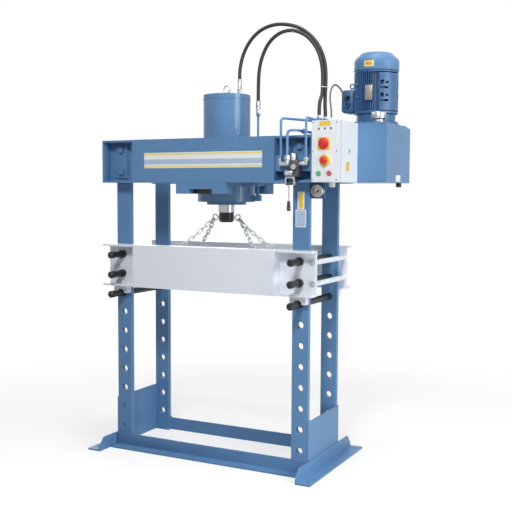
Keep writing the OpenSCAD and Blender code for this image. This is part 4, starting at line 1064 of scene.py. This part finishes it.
class PRESS_OT_motor(bpy.types.Operator):
    """Finishes the motor with its fan cowl, eye, plate, pad and terminal box"""
    bl_idname = "press.motor"
    bl_label = "Motor"

    def execute(self, context):
        eased("bell_housing", "motor", 1.5 * context.scene.press_sizes.edge)
        self.housing(at(*MOTOR, 0))
        self.trim()
        self.terminals()
        return {"FINISHED"}

    def housing(self, axis):
        """Fan cowl, cast housing with its fins, grille and smooth pad."""
        profile = [(0, 2388), (19, 2388), (19, 2393.5), (20, 2394), (76, 2394), (84, 2392.4),
                   (90, 2389), (121, 2360), (126.5, 2353), (129.4, 2345), (130, 2338), (130, 2292),
                   (129, 2290), (124, 2290), (124, 2296), (0, 2296)]
        make("Fan_cowl", "blue", [(turned, profile, axis, 96)], node="motor_cowl")
        scatter("Bell_bolts", "motor",
                [along((*circle(MOTOR, 119.5, 22.5 + 45 * k)[0], 1999), UP) for k in range(8)],
                [(hex_head, 6.6, 6.5, 7.4, 1.4)])
        screws = [circle(MOTOR, 129.8, 45 + 90 * k) for k in range(4)]
        scatter("Cowl_screws", "blue", [along((*spot, 2302), out) for spot, out in screws],
                [(slotted_head, 5, 2.4)])

        # Core and end rings, then thin cooling fins, left out where the pad and the box sit
        profile = [(0, 2044), (120, 2044), (126, 2047), (126, 2058), (112, 2062), (105, 2066),
                   (105, 2272), (112, 2276), (126, 2279), (126, 2287), (120, 2290), (0, 2290)]
        make("Motor_housing", "motor", [(turned, profile, axis, 96)], node="motor_housing")
        outline = [(103, -2.4), (125.4, -1.4), (126, -0.6), (126, 0.6), (125.4, 1.4), (103, 2.4)]
        turns = [31 + 6.1 * k for k in range(44)]
        scatter("Motor_fins", "motor", around(MOTOR, [t for t in turns if not 163 < t < 197]),
                [(prism, outline, 2056, 2281)])

        # Dark discs in rings on the cowl's flat top, painted shade for the round openings of the fan
        # grille
        holes = [at(*circle(MOTOR, reach, 360 * k / count)[0], 2394)
                 for reach, count in ((28, 16), (38, 22), (48, 28), (58, 34), (68, 40))
                 for k in range(count)]
        scatter("Cowl_grille", "dark", holes, [(turned, disc(3.6, -0.5, 0.25), WAYS["up"], 12)])

        # Smooth cast side with the pockets that mounting feet would bolt into
        pocket = [(i, j) for i in range(9) for j in (0, 1)]
        pocket += [(i, j) for i in range(4) for j in (4, 5, 6, 7)]
        pocket += [(i, j) for i in (6, 7, 8) for j in (5, 6)]
        holes = [(left + i, low + j) for low in (8, 20) for left in (1, 26) for i, j in pocket]
        angles = [PAD_FIRST + PAD_STEP * k for k in range(37)]
        heights = [PAD_LOW + PAD_RISE * k for k in range(36)]
        make("Motor_pad", "motor", [(curved, MOTOR, 126.6, 10, angles, heights, holes)])

    def trim(self):
        """Lifting eye, bare plate, cowl film and the bosses of the tie bolts."""
        y = MOTOR[1]
        make("Motor_eye", "motor", [
            (ring, 13, 4.2, at(743, y, EYE_Z, "front")),
            (turned, [(0, 0), (7, 0), (7, 8), (4.5, 11), (4.5, 17), (0, 17)],
             at(776, y, EYE_Z, "left"))])
        rivet = [(0, 0), (1.4, 0), (1, 0.9), (0, 1)]
        make("Motor_plate", "plate", [
            (block, (867, 42.6, 2119), (911, 45.6, 2203), 0.8),
            (block, (871, 42.1, 2123), (907, 42.7, 2199), 0.2),
            *[(turned, rivet, at(x, 42.6, z, "front"), 12) for x in (869, 909) for z in (2121, 2201)]])
        for name, key, reach, span, low, high in (
                ("Cowl_plate", "film_straw", 130.5, 13, 2305, 2338),
                ("Cowl_plate_field", "film_orange", 130.8, 9, 2313, 2330)):
            angles = [-90 - span + span * k / 5 for k in range(11)]
            make(name, key, [(curved, MOTOR, reach, 0.8, angles, (low, high))])
        bosses = []
        for height in (2209, 2137):
            for angle in (-129, 129):
                spot, out = circle(MOTOR, 112, angle)
                place = along((*spot, height), out)
                bosses += [(turned, [(0, 0), (10, 0), (10, 15), (9, 16.5), (0, 16.5)], place, 24),
                           (turned, [(0, 16), (6.5, 16), (6.5, 20), (5.7, 21), (0, 21)], place, 6)]
        make("Motor_bosses", "motor", bosses)

    def terminals(self):
        """Terminal box with its neck, lid, cable gland and open port."""
        seat, port = (at(TERMINAL_X, 113, z, "front") for z in (GLAND_Z, PORT_Z))
        make("Terminal_box", "motor", [
            (block, (700, 112, 2056), (772, 230, 2189), 12),
            (block, (760, 126, 2072), (792, 216, 2173), 4),
            (turned, [(0, 0), (15, 0), (15, 5), (13.5, 6.5), (0, 6.5)], seat),
            (turned, [(8, 0), (14.5, 0), (14.5, 20), (13.3, 22), (9, 22), (8, 21), (8, 0)], port)],
             node="terminal_box")
        make("Terminal_lid", "motor", [(block, (696, 122, 2066), (701, 220, 2179), 1.6)])
        scatter("Terminal_screws", "zinc",
                [at(696, y, z, "left") for y in (130, 212) for z in (2074, 2171)],
                [(slotted_head, 4, 2)])
        gland = at(TERMINAL_X, 112, GLAND_Z, "front")
        # Black glands, and a dark disc inside the open port as painted shade
        make("Terminal_glands", "dark", [
            (turned, disc(13, 0, 9), gland, 6),
            (turned, [(0, 9), (11.6, 9), (11.6, 20), (9, 27), (6, 30), (0, 30)], gland),
            (turned, disc(7.9, 0, 12), port)])


class PRESS_OT_cabinet(bpy.types.Operator):
    """Finishes the control cabinet with its panel, lamps, screws and glands"""
    bl_idname = "press.cabinet"
    bl_label = "Control cabinet"

    def execute(self, context):
        edge = context.scene.press_sizes.edge
        eased("control_cabinet", "cabinet", 1.2 * edge)
        eased("cabinet_panel", "cabinet", 0.4 * edge)
        collar = [(0, 0), (30, 0), (30, 9), (28.8, 12), (26, 14), (22.5, 14), (21, 12), (0, 12)]
        make("Switch_plate_and_collar", "yellow", [
            (block, (735, -319, 1824), (803, PANEL_Y, 1892), 0.9),
            (turned, collar, panel(*MUSHROOM), 48)], node="panel_fittings")
        for name, key, profile in (
                ("Panel_bezels", "aluminium", [(0, 0), (6.4, 0), (6.4, 1.8), (5.6, 2.6), (0, 2.6)]),
                ("Panel_lamps", "lamp", [(0, 2), (5, 2), (5, 4), (4.2, 5.4), (2.4, 6.3), (0, 6.6)])):
            make(name, key, [(turned, profile, panel(x, LAMP_Z)) for x in LAMP_ROW])
        scatter("Panel_screws", "zinc", [panel(x, z) for x in (707, 844) for z in (1664, 1817, 1970)],
                [(slotted_head, 5, 2)])

        # Glands of the motor cable and of the supply, the supply's left open
        motor = at(756, GLAND_Y, 1982)
        supply = at(764, GLAND_Y, 1652, "down")
        make("Cabinet_glands", "nylon", [
            (turned, disc(13.5, 0, 8), motor, 6),
            (turned, [(0, 8), (11.8, 8), (11.8, 15), (9, 20), (6, 22), (0, 22)], motor),
            (turned, disc(20, 0, 9), supply, 6),
            (turned, [(0, 9), (17.6, 9), (17.6, 20), (14, 27), (9, 27.4), (8.4, 22), (0, 22)],
             supply)])

        # Joint of the front panel, and the quarter-turn lock of the side
        make("Cabinet_joint", "dark", [(block, (860.6, -299.4, 1656), (861.15, -296.2, 1978)),
                                       (block, (702, -315.4, 1653.2), (859, -314.9, 1654.6))])
        make("Cabinet_lock", "zinc", [
            (turned, [(0, 0), (12, 0), (12, 1.6), (10.5, 3), (0, 3)],
             at(CABINET_SIDE_X, -178, 1821, "right")),
            (block, (863.8, -179.8, 1812.5), (866.4, -176.2, 1829.5), 0.8)])
        return {"FINISHED"}


class PRESS_OT_switches(bpy.types.Operator):
    """Makes the isolator knob, the emergency stop and the two push buttons"""
    bl_idname = "press.switches"
    bl_label = "Switches"

    def execute(self, context):
        profile = [(0, 2.3), (30, 2.3), (30, 6.5), (28.6, 8.6), (25, 9.2), (24, 11.6), (22.5, 12.3),
                   (0, 12.3)]
        make("Isolator_knob", "red", [
            (turned, profile, panel(769, 1858), 48),
            (block, (761, -339.3, 1834.5), (777, -327, 1881.5), 2.6)], "isolator", "main_switch")
        profile = [(0, 11), (6.5, 11), (6.5, 20), (18.8, 20), (20.4, 21.8), (20.4, 27.5), (18.4, 31.2),
                   (12.5, 33.5), (0, 34)]
        make("Stop_mushroom", "red", [(turned, profile, panel(*MUSHROOM), 48)], "estop",
             "estop_button", 50)
        bezel = [(11.6, 0), (14.4, 0), (14.4, 4.6), (13.2, 6), (11.6, 6), (11.6, 0)]
        cap = [(0, 1.1), (5, 1.1), (5, 5.4), (10.6, 5.4), (11, 5.8), (11, 8.8), (9.8, 10), (8.6, 9.6),
               (0, 9.2)]
        for name, body, key, x in (("Start", "start", "green", 741), ("Stop", "stop", "rose", 803)):
            make(name + "_bezel", key, [(turned, bezel, panel(x, BUTTON_Z))])
            make(name + "_cap", key, [(turned, cap, panel(x, BUTTON_Z), 36)], body, body + "_button")
        return {"FINISHED"}


class PRESS_OT_valve(bpy.types.Operator):
    """Finishes the hand valve with its unions, lever and pipes"""
    bl_idname = "press.valve"
    bl_label = "Valve and pipes"

    def execute(self, context):
        edge = context.scene.press_sizes.edge
        make("Valve_casting", "iron", [
            (block, (584, -357, 1690), (635, -300, 1770), 5),
            (block, (566, -351, 1680), (637, -303, 1720), 7),
            (turned, [(0, 0), (21, 0), (21, 3), (19, 6), (0, 6)], at(613, -356, 1733, "front"), 8),
            (turned, [(0, 0), (17, 0), (17, 8), (14, 11), (0, 11)], at(622, -350, 1699, "front"), 24)],
             node="valve_body")
        eased("valve_spool", "zinc", 0.4 * edge, "spool")
        eased("pipes", "pipe", 0.3 * edge)
        self.unions()
        self.lever()
        return {"FINISHED"}

    def unions(self):
        """Elbows, unions, caps and the fork of the valve, then the unions along the pipes."""
        parts = []
        for side, x, z, far in ((-1, 584, 1750, 522), (1, 635, 1752, 672)):
            run = abs(far - x)
            root, way = (x, VALVE_Y, z), (side, 0, 0)
            parts += [
                (nut, root, way, 17, 0.42 * run),
                (turned, [(0, 0), (11.5, 0), (11.5, run), (8, run + 8), (0, run + 11)],
                 along(root, way)),
                (turned, [(0, z - 11), (8, z - 9), (11.5, z - 2), (11.5, z + 16), (0, z + 16)],
                 at(far, VALVE_Y, 0)),
                (nut, (far, VALVE_Y, z + 13), UP, 14.5, 20)]
        parts += [
            (turned, disc(9, 0, 20), along((566, -351, 1756), (1, 0, 0))),
            (nut, (570, -351, 1744), UP, 13.5, 26),
            (nut, (570, -351, 1772), UP, 14.5, 24),
            (turned, [(0, 1768), (20, 1768), (20, 1776), (18, 1778), (18, 1803), (15.5, 1808),
                      (0, 1808)], at(598, VALVE_Y, 0)),
            (turned, [(0, 0), (13.6, 0), (14.6, 2), (14.6, 8), (12, 10.5), (6.4, 10.5), (5.4, 7),
                      (0, 7)], at(613, -361, 1733, "front")),
            (turned, [(0, 0), (16, 0), (17, 2), (17, 18), (14.5, 20), (14.5, 26), (17, 28), (17, 44),
                      (15, 47), (0, 47)], along((604, -345, 1701), (-1, 0, 0)))]
        parts += [(block, (x, -347, 1633), (x + 9, -315, 1678), 2.5) for x in (555, 604)]
        parts.append((block, (555, -347, 1672), (613, -315, 1681), 2))
        make("Valve_unions", "zinc", parts)

        parts = []
        for x, y in ((522, 0), (672, -90)):
            run = Vector((HOSE_X - x, y - VALVE_Y, 0)).normalized()
            parts.append((nut, Vector((HOSE_X, y, HOSE_BLOCK_Z)) - 31 * run, run, 13, 15))
        make("Pipe_unions", "blue", parts + [
            (nut, (696, 95, 1931), (1, 0, 0), 13.5, 15), (nut, (622, -262, 1931), (0, 1, 0), 14, 34),
            (nut, (FLANGE_PIPE_X, 0, 1579), UP, 13, 16), (nut, (FLANGE_PIPE_X, 0, 2046), UP, 13, 16)])

    def lever(self):
        """Hub, rod and tapered grip of the lever."""
        pivot = at(LEVER_X, VALVE_Y, LEVER_Z, "right")
        hang = at(ROD_X, VALVE_Y, 0)
        make("Lever_hub", "iron", [(turned, [(0, -18), (9.5, -18), (10.5, -17), (10.5, 17), (9.5, 18),
                                             (0, 18)], pivot)], "lever")
        make("Lever_rod", "zinc", [
            (turned, [(0, -31), (6, -31), (6.5, -30), (6.5, 30), (6, 31), (0, 31)], pivot, 24),
            (turned, [(0, 1540), (3.4, 1540), (3.4, 1632), (6.8, 1640), (6.8, 1648), (0, 1648)], hang)],
             "lever", "valve_lever")
        make("Lever_grip", "grip", [
            (turned, [(0, 1493), (6, 1493), (9.4, 1495), (11, 1500), (11, 1508), (10.4, 1509),
                      (10.4, 1511), (10.9, 1512), (9.8, 1530), (8.4, 1544), (7.2, 1548), (0, 1548)],
             hang)], "lever")


class PRESS_OT_gauge(bpy.types.Operator):
    """Finishes the pressure gauge with its dial, scale, needle and glass"""
    bl_idname = "press.gauge"
    bl_label = "Gauge"

    def execute(self, context):
        # The gauge bracket takes the deeper motor enamel as painted shade
        bracket_y = -205.2
        eased("gauge_case", "zinc", 0.5 * context.scene.press_sizes.edge, "frame", "motor",
              lambda centre: centre.y > bracket_y)
        front = at(GAUGE_X, -214, GAUGE_Z, "front")
        make("Gauge_dial", "dial", [(turned, disc(30.5, -0.3, 0.5), front, 48)])
        make("Gauge_bezel", "zinc", [(turned, [(30, 19.2), (34.3, 19.2), (34.3, 21.4), (32.8, 23),
                                               (31, 22.6), (30, 21), (30, 19.2)], front, 48)])
        scale_first, scale_sweep, scale_reach = 225, 270, 0.0275
        for name, count, long, wide in (("Gauge_marks", 7, 6.5, 1.5), ("Gauge_ticks", 31, 3.6, 0.7)):
            turns = [math.radians(scale_first - scale_sweep * k / (count - 1)) for k in range(count)]
            scatter(name, "dark", [front @ Matrix.Rotation(turn, 4, "Z")
                                   @ Matrix.Translation((scale_reach, 0, 0)) for turn in turns],
                    [(block, (-long, -wide / 2, 0.4), (0, wide / 2, 0.75))])
        paint("dark", "gauge_needle")
        paint("glass", "gauge_lens")
        back = at(GAUGE_X, -199, GAUGE_Z, "back")
        make("Gauge_stem", "zinc", [(turned, disc(9, 0, 14), back, 6), (turned, disc(6, 14, 34), back)])
        return {"FINISHED"}


class PRESS_OT_plates(bpy.types.Operator):
    """Sticks the bare films on the crown, a column, the tank and the cabinet"""
    bl_idname = "press.plates"
    bl_label = "Bare films"

    def execute(self, context):
        for name, key, *boxes in (
                ("Top_beam_band", "film", ((-386, -317.5, 1735), (400, -316.9, 1826))),
                ("Top_beam_band_field", "film_blue", ((-386, -317.7, 1757), (400, -317.4, 1786))),
                ("Top_beam_band_lines", "film_straw", ((-386, -317.7, 1812), (400, -317.4, 1822)),
                 ((-386, -317.7, 1739), (400, -317.4, 1748))),
                ("Column_film", "film", ((578, -227.5, 1503), (620, -226.9, 1600))),
                ("Column_film_field", "film_yellow", ((586, -227.8, 1508), (612, -227.4, 1595))),
                ("Column_film_low", "film", ((566, -227.5, 1402), (631, -226.9, 1500))),
                ("Column_film_low_field", "film_blue", ((571, -227.8, 1407), (626, -227.4, 1495))),
                ("Cabinet_film", "film_yellow", ((742, -317.5, 1951), (807, -316.9, 1977))),
                ("Cabinet_side_film", "film_yellow", ((860.9, -222, 1712), (861.4, -172, 1762))),
                ("Tank_film", "film", ((1029.8, 124, 1659), (1030.4, 208, 1697)))):
            make(name, key, [(block, low, high) for low, high in boxes])
        return {"FINISHED"}


class PRESS_PT_panel(bpy.types.Panel):
    """Lists the sizes, the colours and the steps that dress the press"""
    bl_idname = "PRESS_PT_panel"
    bl_label = "Workshop press"
    bl_space_type = "VIEW_3D"
    bl_region_type = "UI"
    bl_category = "Press"

    def draw(self, context):
        for group in (context.scene.press_colours, context.scene.press_sizes):
            for name in group.bl_rna.properties.keys():
                if name not in ("rna_type", "name"):
                    self.layout.prop(group, name)
        for step in STEPS:
            self.layout.operator(step.bl_idname)


STEPS = (
    PRESS_OT_stage, PRESS_OT_cords, PRESS_OT_frame, PRESS_OT_bolts, PRESS_OT_cylinder,
    PRESS_OT_chains, PRESS_OT_table, PRESS_OT_pins, PRESS_OT_tank, PRESS_OT_motor,
    PRESS_OT_cabinet, PRESS_OT_switches, PRESS_OT_valve, PRESS_OT_gauge, PRESS_OT_plates,
)
CLASSES = (PressColours, PressSizes, *STEPS, PRESS_PT_panel)


def register():
    for cls in CLASSES:
        bpy.utils.register_class(cls)
    bpy.types.Scene.press_colours = bpy.props.PointerProperty(type=PressColours)
    bpy.types.Scene.press_sizes = bpy.props.PointerProperty(type=PressSizes)


def unregister():
    del bpy.types.Scene.press_colours
    del bpy.types.Scene.press_sizes
    for cls in reversed(CLASSES):
        bpy.utils.unregister_class(cls)


def main():
    """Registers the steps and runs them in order."""
    register()
    for step in STEPS:
        area, name = step.bl_idname.split(".")
        getattr(getattr(bpy.ops, area), name)()


if __name__ == "__main__":
    main()
